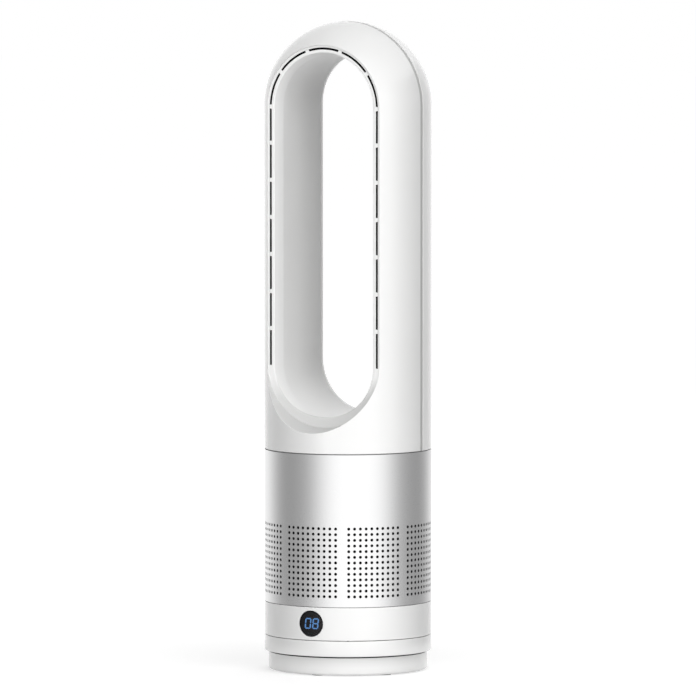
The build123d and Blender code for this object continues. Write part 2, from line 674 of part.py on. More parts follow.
def make_control_housing():
    band = ring(BODY_R, INNER_R, BAND_Z, SLEEVE_Z)
    band = chamfer(band.edges().filter_by(GeomType.CIRCLE).group_by(SortBy.RADIUS)[-1], EDGE_BREAK)
    band += ring(INNER_R + MELD, DECK_HOLE_R, DECK_Z, SLEEVE_Z)
    band = join(band, [place * disc(BOSS_POST_R, TT_TOP, DECK_Z + MELD) for place in POST_PLACES])
    tube = facing_disc(LENS_R + FIT_GAP + WALL_T, LENS_BACK - DISPLAY_TUBE_L, BODY_R)
    band += tube & disc(BODY_R - WALL_T / 2, BAND_Z, DECK_Z + MELD)
    band -= facing_disc(LENS_R + FIT_GAP, LENS_BACK, BODY_R + CUT)
    band -= facing_disc(LENS_R - LENS_SEAT, LENS_BACK - DISPLAY_TUBE_L - CUT, LENS_BACK + CUT)
    for place in POST_PLACES:
        band -= place * disc(HOLE_CLEAR, TT_TOP - CUT, TT_Z + POST_SCREW_L)
    return band


def make_display_lens():
    return facing_disc(LENS_R, LENS_BACK, BODY_R + CUT) & disc(BODY_R - LENS_INSET, BAND_Z, SLEEVE_Z)


def make_digit_block():
    near, far = LENS_BACK - DISPLAY_TUBE_L, LENS_BACK - FIT_GAP - SEGMENT_T
    return Pos(0, -(near + far) / 2, LENS_Z) * Box(DIGITS_W, far - near, DIGITS_H)


def segment_bar(length):
    """A lit bar with pointed ends, lying along X."""
    end, half = length / 2, SEGMENT_W / 2
    upper = [(-end, 0), (half - end, half), (end - half, half), (end, 0)]
    lower = [(end - half, -half), (half - end, -half)]
    return make_face(Polyline(*upper, *lower, close=True))


def digit_bars(middle, levels):
    """The bars of one slanted digit: flat bars at the given levels and four upright ones."""
    lean = tan(radians(DIGIT_SLANT))
    flat = segment_bar(DIGIT_W - 2 * SEGMENT_GAP)
    upright = segment_bar(DIGIT_H / 2 - 2 * SEGMENT_GAP)
    bars = [Pos(middle + k * lean * DIGIT_H / 2, k * DIGIT_H / 2) * flat for k in levels]
    for x in (middle - DIGIT_W / 2, middle + DIGIT_W / 2):
        for z in (-DIGIT_H / 4, DIGIT_H / 4):
            bars.append(Pos(x + z * lean, z) * Rot(0, 0, 90 - DIGIT_SLANT) * upright)
    return bars


def make_digit_segments():
    """A nought without its middle bar, and an eight."""
    bars = digit_bars(-DIGIT_PITCH / 2, (-1, 1)) + digit_bars(DIGIT_PITCH / 2, (-1, 0, 1))
    plane = Plane.XZ.offset(LENS_BACK - FIT_GAP - SEGMENT_T) * Pos(0, LENS_Z)
    return Compound([plane * extrude(bar, SEGMENT_T) for bar in bars])


def make_display_board():
    far = LENS_BACK - DISPLAY_TUBE_L
    return facing_disc(LENS_R + FIT_GAP, far - BOARD_T, far)


# ---------------------------------------------------------------- intake
def make_intake_sleeve():
    sleeve = ring(BODY_R, BODY_R - SLEEVE_T, SLEEVE_Z, HEAD_Z)
    punch = Box(4 * SLEEVE_T, HOLE_W, HOLE_W)
    column_step = PANEL_ANGLE / (HOLE_COLUMNS - 1)
    row_step = PANEL_H / (HOLE_ROWS - 1)
    holes = []
    for panel in range(PANELS):
        for column in range(HOLE_COLUMNS):
            angle = -90 + 360 * panel / PANELS - PANEL_ANGLE / 2 + column * column_step
            for row in range(HOLE_ROWS):
                z = SLEEVE_Z + PANEL_Z - PANEL_H / 2 + row * row_step
                holes.append(Rot(0, 0, angle) * Pos(BODY_R - SLEEVE_T / 2, 0, z) * punch)
    return sleeve - holes


def make_intake_frame():
    inner = FRAME_R - FRAME_W
    low = ring(FRAME_R, inner, SLEEVE_Z, SLEEVE_Z + FRAME_RING_H)
    high = ring(FRAME_R, inner - FRAME_SHELF, FRAME_TOP - FRAME_RING_H, FRAME_TOP)
    ribs = [
        place * block(FRAME_W, FRAME_RIB_W, SLEEVE_Z + CUT, FRAME_TOP - CUT)
        for place in around(PANELS, FRAME_R - FRAME_W / 2 - MELD, first=-90 + 180 / PANELS)
    ]
    return join(low, [high, *ribs])


def make_intake_foam():
    outer = FRAME_R - FRAME_W - FIT_GAP
    return ring(outer, outer - FOAM_T, SLEEVE_Z, FRAME_TOP - FRAME_RING_H)


# ---------------------------------------------------------------- air path
def shroud_edges(inset):
    """The duct's curve past the impeller, from the mouth up to the diffuser, moved in by inset."""
    low, mid, high = MOUTH_Z + MOUTH_LIP_H, MOUTH_Z + FLARE_HEIGHT * (DIFFUSER_Z - MOUTH_Z), DIFFUSER_Z
    narrow, wide = MOUTH_R - inset, LEDGE_R - inset
    bend = (narrow + FLARE_WIDTH * (wide - narrow), mid)
    flare = TangentArc((narrow, low), bend, tangent=(0, 1))
    settle = TangentArc((wide, high), bend, tangent=(0, -1))
    return flare, settle


def make_impeller_housing():
    inside = shroud_edges(0)
    outside = shroud_edges(-DUCT_T)
    in_low, in_high = inside[0] @ 0, inside[1] @ 0
    out_low, out_high = outside[0] @ 0, outside[1] @ 0
    lip = (in_low.X + MOUTH_LIP_W, MOUTH_Z)
    lip_out = (in_low.X + MOUTH_LIP_W + DUCT_T, MOUTH_Z + MOUTH_LIP_SET)
    outline = [
        *inside,
        *outside,
        Line((in_high.X, in_high.Y), (DUCT_R, DIFFUSER_Z)),
        Line((DUCT_R, DIFFUSER_Z), (DUCT_R, HEAD_Z)),
        Line((DUCT_R, HEAD_Z), (DUCT_R + DUCT_T, HEAD_Z)),
        Line((DUCT_R + DUCT_T, HEAD_Z), (DUCT_R + DUCT_T, DIFFUSER_Z)),
        Line((DUCT_R + DUCT_T, DIFFUSER_Z), (out_high.X, out_high.Y)),
        Line((out_low.X, out_low.Y), lip_out),
        Line(lip_out, lip),
        Line(lip, (in_low.X, in_low.Y)),
    ]
    housing = revolve(Plane.XZ * make_face(outline), Axis.Z)
    housing += ring(FRAME_R, MOUTH_R - CUT, FRAME_TOP, FRAME_TOP + FLANGE_T) - cone_clear(outside)
    housing += ring(FRAME_R - FLANGE_INSET, DUCT_R + MELD, HEAD_Z - FLANGE_T, HEAD_Z)
    post = disc(HOLE_CLEAR + POST_EXTRA_R, NECK_POST_Z, HEAD_Z - FLANGE_T + MELD)
    housing = join(housing, [place * post for place in NECK_PLACES])
    for place in NECK_PLACES:
        housing -= place * disc(HOLE_CLEAR, NECK_POST_Z + WALL_T, HEAD_Z + CUT)
    return housing


def cone_clear(outside):
    """The space inside the duct's outer skin, from the mouth to the diffuser."""
    low, high = outside[0] @ 0, outside[1] @ 0
    outline = [
        *outside,
        Line((high.X, high.Y), (0, high.Y)),
        Line((0, high.Y), (0, low.Y)),
        Line((0, low.Y), (low.X, low.Y)),
    ]
    return revolve(Plane.XZ * make_face(outline), Axis.Z)


NECK_POST_Z = HEAD_Z + GASKET_T + NECK_T - NECK_SCREW_L - WALL_T - FIT_GAP
NECK_PLACES = around(4, HEAD_IN_R - FIT_GAP - WALL_T - SCREW_HEAD_R - HEAD_CLEAR, first=45)


def radial_strip(inner, outer, thickness):
    """A thin rectangle lying radially."""
    return Pos((inner + outer) / 2, 0) * Rectangle(outer - inner, thickness)


def make_diffuser():
    band = ring(DUCT_R - FIT_GAP, LEDGE_R, DIFFUSER_Z, HEAD_Z)
    bucket = ring(BUCKET_R, BUCKET_R - WALL_T, BUCKET_FLOOR, HEAD_Z)
    floor = ring(BUCKET_R - MELD, TUBE_R, BUCKET_FLOOR, DIFFUSER_Z)
    low, high = DIFFUSER_Z + VANE_FOOT, HEAD_Z - VANE_HEAD
    strip = radial_strip(BUCKET_R - CUT, LEDGE_R + CUT, VANE_T)
    lower = Pos(0, 0, low) * strip
    upper = Pos(0, 0, high) * Rot(0, 0, VANE_TWIST) * strip
    vane = loft([lower.face(), upper.face()], ruled=True)
    vane &= ring(LEDGE_R + MELD, BUCKET_R - MELD, low - CUT, high + CUT)
    body = join(bucket, [floor, band])
    body = join(body, [Rot(0, 0, 360 * k / VANES) * vane for k in range(VANES)])
    for place in CARRIER_PLACES:
        body -= place * disc(HOLE_CLEAR, BUCKET_FLOOR - CUT, DIFFUSER_Z + CUT)
    return body


CARRIER_PLACES = around(3, CARRIER_R - SCREW_HEAD_R - HEAD_CLEAR, first=90)


def dome(radius, height):
    """A round cap standing on the column's axis at the head's lower edge."""
    ball_r = (radius**2 + height**2) / (2 * height)
    top = HEAD_Z + height
    return Pos(0, 0, top - ball_r) * Sphere(ball_r) & disc(ball_r + CUT, HEAD_Z, top + CUT)


def make_motor_cover():
    return dome(BUCKET_R, TAIL_H) - dome(BUCKET_R - WALL_T, TAIL_H - WALL_T)


def make_duct_gasket():
    gasket = ring(FRAME_R - FLANGE_INSET, DUCT_R, HEAD_Z, HEAD_Z + GASKET_T)
    for place in NECK_PLACES:
        gasket -= place * disc(HOLE_CLEAR, HEAD_Z - CUT, HEAD_Z + GASKET_T + CUT)
    return gasket


def make_head_base():
    low = HEAD_Z + GASKET_T
    outer = HEAD_IN_R - FIT_GAP
    base = ring(outer, DUCT_R, low, low + NECK_T)
    base += ring(outer, outer - WALL_T, low + NECK_T - MELD, low + NECK_T + NECK_WALL_H)
    for place in NECK_PLACES:
        base -= place * disc(HOLE_CLEAR, low - CUT, low + NECK_T + CUT)
    return base


# ---------------------------------------------------------------- impeller and motor
def circle_through(a, b, c):
    """Centre and radius of the circle through three points."""
    d = 2 * (a[0] * (b[1] - c[1]) + b[0] * (c[1] - a[1]) + c[0] * (a[1] - b[1]))
    sq = [p[0] ** 2 + p[1] ** 2 for p in (a, b, c)]
    x = (sq[0] * (b[1] - c[1]) + sq[1] * (c[1] - a[1]) + sq[2] * (a[1] - b[1])) / d
    y = (sq[0] * (c[0] - b[0]) + sq[1] * (a[0] - c[0]) + sq[2] * (b[0] - a[0])) / d
    return (x, y), hypot(a[0] - x, a[1] - y)


def blade_face(z, turn):
    """A backward-curved strip of even thickness from near the shaft to past the duct wall."""
    inner, outer = HUB_NOSE_R - BLADE_ROOT, LEDGE_R + CUT
    mid = (inner + outer) / 2
    sweep_back = radians(BLADE_SWEEP)
    line = [polar(inner, 0), polar(mid, -BLADE_BOW * sweep_back), polar(outer, -sweep_back)]
    centre, radius = circle_through(*line)
    angles = [atan2(p[1] - centre[1], p[0] - centre[0]) for p in line]
    sides = []
    for r in (radius - BLADE_T / 2, radius + BLADE_T / 2):
        sides.append([(centre[0] + r * cos(a), centre[1] + r * sin(a)) for a in angles])
    near, far = sides
    face = make_face(
        [ThreePointArc(*near), Line(near[2], far[2]), ThreePointArc(*far[::-1]), Line(far[0], near[0])]
    )
    return (Plane.XY.offset(z) * Rot(0, 0, turn) * face).face()


def hub_curve(inset):
    """The impeller's trumpet-shaped hub line, from its nose up to its rim."""
    return TangentArc(
        (HUB_NOSE_R - inset, NOSE_Z), (BUCKET_R - HUB_RIM_SET - inset, IMPELLER_TOP), tangent=(0.3, 1)
    )


def make_impeller():
    line = hub_curve(0)
    nose, rim = line @ 0, line @ 1
    hub = revolve(
        Plane.XZ
        * make_face([line, Line(rim, (0, rim.Y)), Line((0, rim.Y), (0, nose.Y)), Line((0, nose.Y), nose)]),
        Axis.Z,
    )
    flare, settle = shroud_edges(BLADE_GAP)
    root = hub_curve(BLADE_BURY)
    low, high = root @ 0, root @ 1
    mouth, top = flare @ 0, settle @ 0
    passage = make_face(
        [
            root,
            Line(high, top),
            settle,
            flare,
            Line(mouth, low),
        ]
    )
    channel = revolve(Plane.XZ * passage, Axis.Z) & disc(DUCT_R, MOUTH_Z, IMPELLER_TOP)
    blade = loft([blade_face(MOUTH_Z, BLADE_TWIST), blade_face(DIFFUSER_Z, 0)], ruled=True) & channel
    wheel = join(hub, [Rot(0, 0, 360 * k / BLADES) * blade for k in range(BLADES)])
    wheel -= ring(HUB_RECESS_R, SHAFT_R + HUB_POST_T, IMPELLER_TOP - HUB_RECESS_D, IMPELLER_TOP + CUT)
    return wheel - disc(SHAFT_R, NOSE_Z - CUT, IMPELLER_TOP + CUT)


def make_impeller_nut():
    side, tip = HUB_NOSE_R - NUT_INSET, NOSE_Z - HUB_NOSE_Z
    nut = ring(side, SHAFT_R, tip, NOSE_Z)
    return chamfer(nut.edges().group_by(Axis.Z)[0].sort_by(SortBy.RADIUS)[-1], NUT_CHAMFER)


def make_motor_shaft():
    return disc(SHAFT_R, MOUTH_Z, CAN_TOP)


def make_motor_carrier():
    carrier = ring(CARRIER_R, BEARING_R, DIFFUSER_Z, CARRIER_TOP)
    carrier += ring(TUBE_R, BEARING_R, DIFFUSER_Z, TUBE_TOP)
    carrier += ring(TUBE_R - FIT_GAP, BEARING_R, BUCKET_FLOOR, DIFFUSER_Z + MELD)
    for place in CARRIER_PLACES:
        carrier -= place * disc(HOLE_CLEAR, DIFFUSER_Z - CUT, CARRIER_TOP + CUT)
    return carrier


def make_shaft_bearings():
    bore = SHAFT_R + BEARING_PLAY
    return Compound(
        [
            ring(BEARING_R, bore, BUCKET_FLOOR, BUCKET_FLOOR + BEARING_H),
            ring(BEARING_R, bore, TUBE_TOP - BEARING_H, TUBE_TOP),
        ]
    )


def make_stator_core():
    core = Circle(TUBE_R + CORE_T) - Circle(TUBE_R)
    rim = Circle(STATOR_R) - Circle(STATOR_R - SHOE_T)
    pole = Rectangle(STATOR_R - SHOE_T - TUBE_R - CORE_T + 4 * MELD, POLE_W)
    mouth = Rectangle(4 * SHOE_T, SLOT_MOUTH)
    for place in around(STATOR_POLES, (STATOR_R - SHOE_T + TUBE_R + CORE_T) / 2):
        core += place * pole
    for place in around(STATOR_POLES, STATOR_R, first=180 / STATOR_POLES):
        rim -= place * mouth
    return Pos(0, 0, STATOR_Z) * extrude(core + rim, STATOR_H)


def make_stator_windings():
    inner, outer = TUBE_R + CORE_T + COIL_OVER, STATOR_R - SHOE_T - COIL_OVER / 2
    top = STATOR_Z + STATOR_H
    coil = block(outer - inner, COIL_W, STATOR_Z - COIL_OVER, top + COIL_OVER)
    coil -= block(outer - inner + CUT, POLE_W, STATOR_Z, top)
    return Compound([place * coil for place in around(STATOR_POLES, (inner + outer) / 2)])


def make_rotor_can():
    wall = ring(CAN_IN_R + CAN_T, CAN_IN_R, CARRIER_TOP + CAN_LIFT, CAN_TOP)
    lid = ring(CAN_IN_R + MELD, SHAFT_R, CAN_TOP - CAN_T, CAN_TOP)
    for place in around(CAN_WINDOWS, CAN_WINDOW_RING_R):
        lid -= place * disc(CAN_WINDOW_R, CAN_TOP - CAN_T - CUT, CAN_TOP + CUT)
    return wall + lid


def make_rotor_magnets():
    return ring(CAN_IN_R, CAN_IN_R - MAGNET_T, CARRIER_TOP + MAGNET_INSET, STATOR_Z + STATOR_H)


# ---------------------------------------------------------------- head
def hoop(outline, arcs="both"):
    """An outline of (distance from the opening's spine, distance in front of the axis) edges carried
    round the opening: up both sides, over the upper arc and under the lower arc."""
    face = make_face([edge.mirror(Plane.XZ) for edge in outline])
    pieces = []
    if arcs != "lower":
        side = Pos(0, 0, LOWER_Z) * extrude(face, ARCH_Z - LOWER_Z)
        pieces += [side, mirror(side, Plane.YZ)]
        pieces.append(revolve(Pos(0, 0, ARCH_Z) * face, Axis((0, 0, ARCH_Z), (0, -1, 0)), 180))
    pieces.append(revolve(Pos(0, 0, LOWER_Z) * face, Axis((0, 0, LOWER_Z), (0, 1, 0)), 180))
    return join(pieces[0], pieces[1:])


def path(*points):
    """Straight edges joining points in a closed loop."""
    return [Line(a, b) for a, b in zip(points, points[1:] + points[:1])]


def capsule(radius):
    """The head's outer form: a cylinder with a round crown."""
    crown = ThreePointArc(
        (radius, ARCH_Z), (radius * cos(pi / 4), ARCH_Z + radius * sin(pi / 4)), (0, ARCH_Z + radius)
    )
    outline = make_face(
        [Line((0, HEAD_Z), (radius, HEAD_Z)), Line((radius, HEAD_Z), (radius, ARCH_Z)), crown,
         Line((0, ARCH_Z + radius), (0, HEAD_Z))]
    )
    return revolve(Plane.XZ * outline, Axis.Z)


def seam_draw():
    """The front half, drawn in all round towards the seam plane."""
    radius = BODY_R - SEAM_DROP
    low = HEAD_Z - PAST
    crown = ThreePointArc((radius, ARCH_Z), (0, ARCH_Z + radius), (-radius, ARCH_Z))
    outline = [
        crown,
        Line((-radius, ARCH_Z), (-radius, low)),
        Line((-radius, low), (radius, low)),
        Line((radius, low), (radius, ARCH_Z)),
    ]
    slope = degrees(atan2(SEAM_DROP, SEAM_RUN))
    return extrude(Plane.XZ * make_face(outline), FAR, taper=-slope)


def half_space(side):
    """Everything in front of the seam plane (side -1) or behind it (side 1)."""
    size = 2 * (BODY_R + PAST)
    return Pos(0, side * size / 2, (HEAD_Z + TOP_Z) / 2) * Box(size, size, HEAD_H + 2 * PAST)


def recess_w(depth):
    """Half width of the drafted recess at a distance in front of the axis."""
    return APERTURE_W + (depth - LIP_DEPTH) * tan(radians(RECESS_DRAFT))


FAR = BODY_R + PAST


def make_head_front_shell(outer, inner):
    rim = hoop(
        path(
            (SLOT_OUT, LIP_DEPTH - RIM_D),
            (SLOT_OUT, LIP_DEPTH),
            (APERTURE_W, LIP_DEPTH),
            (recess_w(FAR), FAR),
            (recess_w(FAR) + RIM_T, FAR),
            (APERTURE_W + RIM_T, LIP_DEPTH - RIM_D / 2),
            (SLOT_OUT + RIM_T, LIP_DEPTH - RIM_D),
        )
    )
    opening = hoop(
        path(
            (0, 0),
            (SLOT_OUT, 0),
            (SLOT_OUT, LIP_DEPTH),
            (APERTURE_W, LIP_DEPTH),
            (recess_w(FAR), FAR),
            (0, FAR),
        )
    )
    front = half_space(-1)
    outer = outer & seam_draw()
    shell = (outer - inner) & front
    return (shell - opening) + (rim & outer & front)


def make_head_rear_shell(outer, inner):
    edge = REAR_ROUND + THROAT_W
    start = LIP_DEPTH - REAR_ROUND
    taper = (FAR - LIP_DEPTH) * tan(radians(RECESS_DRAFT))
    turn = REAR_ROUND * cos(pi / 4)
    arc = ThreePointArc((THROAT_W, start), (edge - turn, start + turn), (edge, LIP_DEPTH))
    seat = start - NOZZLE_SEAT
    collar_in = THROAT_W + NOZZLE_T + SEAL_T
    collar_out = collar_in + COLLAR_T
    rim = hoop(
        [
            arc,
            Line((edge, LIP_DEPTH), (edge + taper, FAR)),
            Line((edge + taper, FAR), (edge + taper + RIM_T, FAR)),
            Line((edge + taper + RIM_T, FAR), (edge + RIM_T, LIP_DEPTH - RIM_T)),
            Line((edge + RIM_T, LIP_DEPTH - RIM_T), (collar_out, start)),
            Line((collar_out, start), (collar_out, seat - COLLAR_L)),
            Line((collar_out, seat - COLLAR_L), (collar_in, seat - COLLAR_L)),
            Line((collar_in, seat - COLLAR_L), (collar_in, seat)),
            Line((collar_in, seat), (THROAT_W, seat)),
            Line((THROAT_W, seat), (THROAT_W, start)),
        ]
    )
    opening = hoop(
        [
            arc,
            Line((edge, LIP_DEPTH), (edge + taper, FAR)),
            Line((edge + taper, FAR), (0, FAR)),
            Line((0, FAR), (0, 0)),
            Line((0, 0), (THROAT_W, 0)),
            Line((THROAT_W, 0), (THROAT_W, start)),
        ]
    )
    rim, opening = (mirror(part, Plane.XZ) for part in (rim, opening))
    back = half_space(1)
    shell = (outer - inner) & back
    return (shell - opening) + (rim & outer & back)


def make_air_nozzle():
    crest = SLOT_IN - LIP_LAND
    entry = LIP_DEPTH - LIP_ROUND - CREST_RUN
    rear = REAR_ROUND + NOZZLE_SEAT - LIP_DEPTH
    front_in = (crest - LIP_ROUND, LIP_DEPTH - LIP_ROUND)
    rounding = ThreePointArc(
        (crest, LIP_DEPTH),
        (crest - LIP_ROUND * sin(pi / 4), LIP_DEPTH - LIP_ROUND * (1 - cos(pi / 4))),
        front_in,
    )
    corners = [
        front_in,
        (THROAT_W, entry),
        (THROAT_W, rear),
        (THROAT_W + NOZZLE_T, rear),
        (THROAT_W + NOZZLE_T, entry - NOZZLE_T),
        (SLOT_IN, LIP_DEPTH - RIM_D),
        (SLOT_IN, LIP_DEPTH),
        (crest, LIP_DEPTH),
    ]
    wall = hoop([rounding, *[Line(a, b) for a, b in zip(corners, corners[1:])]])
    near, far = LIP_DEPTH - RIM_D, LIP_DEPTH
    edge = SLOT_OUT - BRIDGE_GAP
    root = SLOT_IN - MELD
    blank = hoop(path((root, near), (edge, near), (edge, far), (root, far)), arcs="lower")
    bridge = Pos((root + edge) / 2, -(near + far) / 2, 0) * Box(edge - root, far - near, SLOT_BRIDGE)
    step = (ARCH_Z - LOWER_Z) / SLOT_SIDE_COUNT
    bridges = [
        Pos(0, 0, LOWER_Z + k * step) * side
        for k in range(1, SLOT_SIDE_COUNT + 1)
        for side in (bridge, mirror(bridge, Plane.YZ))
    ]
    bridges += [
        Pos(0, 0, ARCH_Z) * Rot(0, -180 * k / SLOT_ARC_COUNT, 0) * bridge
        for k in range(1, SLOT_ARC_COUNT)
    ]
    return join(wall, [blank, *bridges])


def make_nozzle_seal():
    seat = LIP_DEPTH - REAR_ROUND - NOZZLE_SEAT
    near, far = seat - COLLAR_L / 2 - SEAL_L / 2, seat - COLLAR_L / 2 + SEAL_L / 2
    inner, outer = THROAT_W + NOZZLE_T, THROAT_W + NOZZLE_T + SEAL_T
    return mirror(hoop(path((inner, near), (outer, near), (outer, far), (inner, far))), Plane.XZ)


# ---------------------------------------------------------------- build
def build():
    os.makedirs("parts", exist_ok=True)
    outer, inner = capsule(BODY_R), capsule(HEAD_IN_R)
    neck_seat = HEAD_Z + GASKET_T + NECK_T
    board_top = BOARD_Z + BOARD_T
    save("foot_shell", make_foot_shell())
    save("foot_cover", make_foot_cover())
    save("cover_screws", screws(COVER_PLACES, COVER_SEAT, COVER_SCREW_L, flip=True))
    save("rubber_feet", make_rubber_feet())
    save("slide_ring", make_slide_ring())
    save("gear_sector", make_gear_sector())
    save("gear_screws", screws(GEAR_PLACES, GEAR_TOP - SCREW_HEAD_H, GEAR_SCREW_L))
    save("dc_inlet", make_dc_inlet())
    save("inlet_pin", make_inlet_pin())
    save("power_lead", make_power_lead())
    save("pinion", make_pinion())
    save("swing_shaft", make_swing_shaft())
    save("turntable", make_turntable())
    save("hub_retainer", make_hub_retainer())
    save("retainer_screws", screws(RETAINER_PLACES, RETAINER_Z + SCREW_HEAD_H, RETAINER_SCREW_L, flip=True))
    save("swing_motor", make_swing_motor())
    save("swing_motor_screws", screws(EAR_PLACES, MOTOR_Z + MOTOR_EAR_T, EAR_SCREW_L))
    save("main_board", make_main_board())
    save("board_components", make_board_components())
    save("board_socket", make_board_socket())
    save("board_screws", screws(STANDOFF_PLACES, board_top, BOARD_SCREW_L))
    save("control_housing", make_control_housing())
    save("housing_screws", screws(POST_PLACES, TT_Z, POST_SCREW_L, flip=True))
    save("display_lens", make_display_lens())
    save("digit_block", make_digit_block())
    save("digit_segments", make_digit_segments())
    save("display_board", make_display_board())
    save("intake_sleeve", make_intake_sleeve())
    save("intake_frame", make_intake_frame())
    save("intake_foam", make_intake_foam())
    save("impeller_housing", make_impeller_housing())
    save("diffuser", make_diffuser())
    save("motor_cover", make_motor_cover())
    save("duct_gasket", make_duct_gasket())
    save("head_base", make_head_base())
    save("neck_screws", screws(NECK_PLACES, neck_seat, NECK_SCREW_L))
    save("impeller", make_impeller())
    save("impeller_nut", make_impeller_nut())
    save("motor_shaft", make_motor_shaft())
    save("motor_carrier", make_motor_carrier())
    save("carrier_screws", screws(CARRIER_PLACES, CARRIER_TOP, CARRIER_SCREW_L))
    save("shaft_bearings", make_shaft_bearings())
    save("stator_core", make_stator_core())
    save("stator_windings", make_stator_windings())
    save("rotor_can", make_rotor_can())
    save("rotor_magnets", make_rotor_magnets())
    save("head_front_shell", make_head_front_shell(outer, inner))
    save("head_rear_shell", make_head_rear_shell(outer, inner))
    save("air_nozzle", make_air_nozzle())
    save("nozzle_seal", make_nozzle_seal())


build()
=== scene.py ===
import json
from math import acos, asin, atan2, cos, degrees, pi, radians, sin, sqrt, tan

import bpy
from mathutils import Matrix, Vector

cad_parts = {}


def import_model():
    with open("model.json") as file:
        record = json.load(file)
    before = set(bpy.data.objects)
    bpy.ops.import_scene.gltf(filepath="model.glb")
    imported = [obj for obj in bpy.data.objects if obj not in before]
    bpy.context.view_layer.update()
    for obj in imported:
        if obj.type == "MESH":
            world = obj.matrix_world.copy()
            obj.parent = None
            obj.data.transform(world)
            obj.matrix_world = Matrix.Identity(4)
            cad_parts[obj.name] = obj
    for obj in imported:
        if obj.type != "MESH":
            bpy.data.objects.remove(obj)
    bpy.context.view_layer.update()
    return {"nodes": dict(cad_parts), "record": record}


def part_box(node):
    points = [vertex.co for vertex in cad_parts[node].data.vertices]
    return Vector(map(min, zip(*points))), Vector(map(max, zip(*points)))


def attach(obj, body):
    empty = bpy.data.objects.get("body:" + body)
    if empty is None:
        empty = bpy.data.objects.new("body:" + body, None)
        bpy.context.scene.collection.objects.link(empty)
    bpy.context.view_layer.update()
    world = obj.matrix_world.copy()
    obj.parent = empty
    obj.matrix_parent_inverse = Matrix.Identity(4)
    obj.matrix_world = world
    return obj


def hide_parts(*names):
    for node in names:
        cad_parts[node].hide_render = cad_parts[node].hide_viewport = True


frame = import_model()
SLOT_OF = {subpart["node"]: subpart["material_slot"] for subpart in frame["record"]["subparts"]}

# -------- sizes, in metres
MM = 0.001


def low(node):
    """Lower corner of a node's box in the frame."""
    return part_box(node)[0]


def high(node):
    """Upper corner of a node's box in the frame."""
    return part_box(node)[1]


# read from the frame
BODY_R = high("head_rear_shell").x
TOP_Z = high("head_rear_shell").z
HEAD_Z = low("head_rear_shell").z
SLEEVE_Z = low("intake_sleeve").z
ARCH_Z = TOP_Z - BODY_R  # centre of the crown
LOWER_Z = low("air_nozzle").z + high("air_nozzle").x  # centre of the lower arc of the solids' opening
LIP_DEPTH = -low("air_nozzle").y  # the opening's edges lie this far before and behind the middle plane
NOZZLE_REAR = high("air_nozzle").y
LENS_R = high("display_lens").x
LENS_Z = (low("display_lens").z + high("display_lens").z) / 2
LENS_BACK = -high("display_lens").y  # from the column's axis
INLET_Z = (low("inlet_pin").z + high("inlet_pin").z) / 2
FOOT_R = high("foot_shell").x
FOOT_LOW_Z, FOOT_HIGH_Z = low("foot_shell").z, high("foot_shell").z
HUB_LOW_Z = low("turntable").z

# shared by several pieces
WALL_T = 2.5 * MM
JOINT_GAP = 0.6 * MM  # shadow gap between the pieces stacked on the column
SOFT_EDGE = 0.45 * MM
FINE_EDGE = 0.15 * MM

# head: widths are taken from the opening's spine, depths from the head's middle plane
LOWER_LIFT = 1.5 * MM  # the visible opening's lower arc lies this much above the solids'
UPPER_DROP = 0.95 * MM  # and its upper arc this much below the crown's centre
OPEN_LOW_Z = LOWER_Z + LOWER_LIFT
OPEN_TOP_Z = ARCH_Z - UPPER_DROP
HEAD_LOW_Z = HEAD_Z + JOINT_GAP / 2
SHELL_T = 2.4 * MM
HEAD_IN_R = BODY_R - SHELL_T
THROAT_W = 51.5 * MM
LIP_EDGE_W = 62.2 * MM
FRONT_DRAFT = tan(radians(7.4))
REAR_DRAFT = tan(radians(9.4))
REAR_ROUND = 9.4 * MM
COLLAR_T = 2.2 * MM
COLLAR_L = 8.0 * MM
SEAL_T = 1.6 * MM
SEAT_GAP = 0.1 * MM  # between the nozzle's back and the rear shell
SEAT_EDGE = 0.25 * MM  # the rounded edges on both sides of that gap
SEAM_GAP = 0.3 * MM
SEAM_RUN = 5.5 * MM  # the front shell is drawn in over this length beside the seam
SEAM_DROP = 0.55 * MM
SEAM_STEP = 0.25 * MM  # small step where the drawn-in strip starts
SEAM_STEP_RUN = 0.1 * MM
CHAMFER_H = 0.5 * MM  # chamfer along the front shell's lower edge

# air slots between the nozzle and the front shell
SLOT_MID_W = 59.0 * MM
SLOT_GAP = 2.1 * MM
SLOT_IN = SLOT_MID_W - SLOT_GAP / 2
SLOT_OUT = SLOT_MID_W + SLOT_GAP / 2
SLOT_DEPTH = 4.1 * MM
SLOT_HEEL = 0.05 * MM  # the nozzle's outline ends this far behind the slot's floor
SLOT_SIDE_COUNT = 7
SLOT_ARC_COUNT = 5
TRIM_GAP = 0.1 * MM  # keeps the nozzle's bridges and its flange off the front shell
BRIDGE_W = SLOT_OUT - TRIM_GAP  # outer edge of the bridges between the slots
BRIDGE_L = 3.7 * MM
BRIDGE_RAMP = 0.35 * MM

# nozzle
NOZZLE_T = 2.2 * MM
CREST_LAND = 3.0 * MM  # width of the flat lip
CREST_WIDEN = 3.2 * MM  # it grows by this towards the bottom of the lower arc
CREST_ROUND = 1.0 * MM
CREST_RUN = 12.6 * MM  # depth of the slope from the rounded lip into the throat
ENTRY_ROUND = 2.0 * MM
FLANGE_W = LIP_EDGE_W - TRIM_GAP  # under the lower arc a flange covers the front shell's lip
FLANGE_T = 0.15 * MM
LIP_PAINTED_SHADE_LOW, LIP_PAINTED_SHADE_HIGH = 34.0 * MM, 12.0 * MM  # depths below the lower arc's centre where the painted shade on the lip is full and where it starts
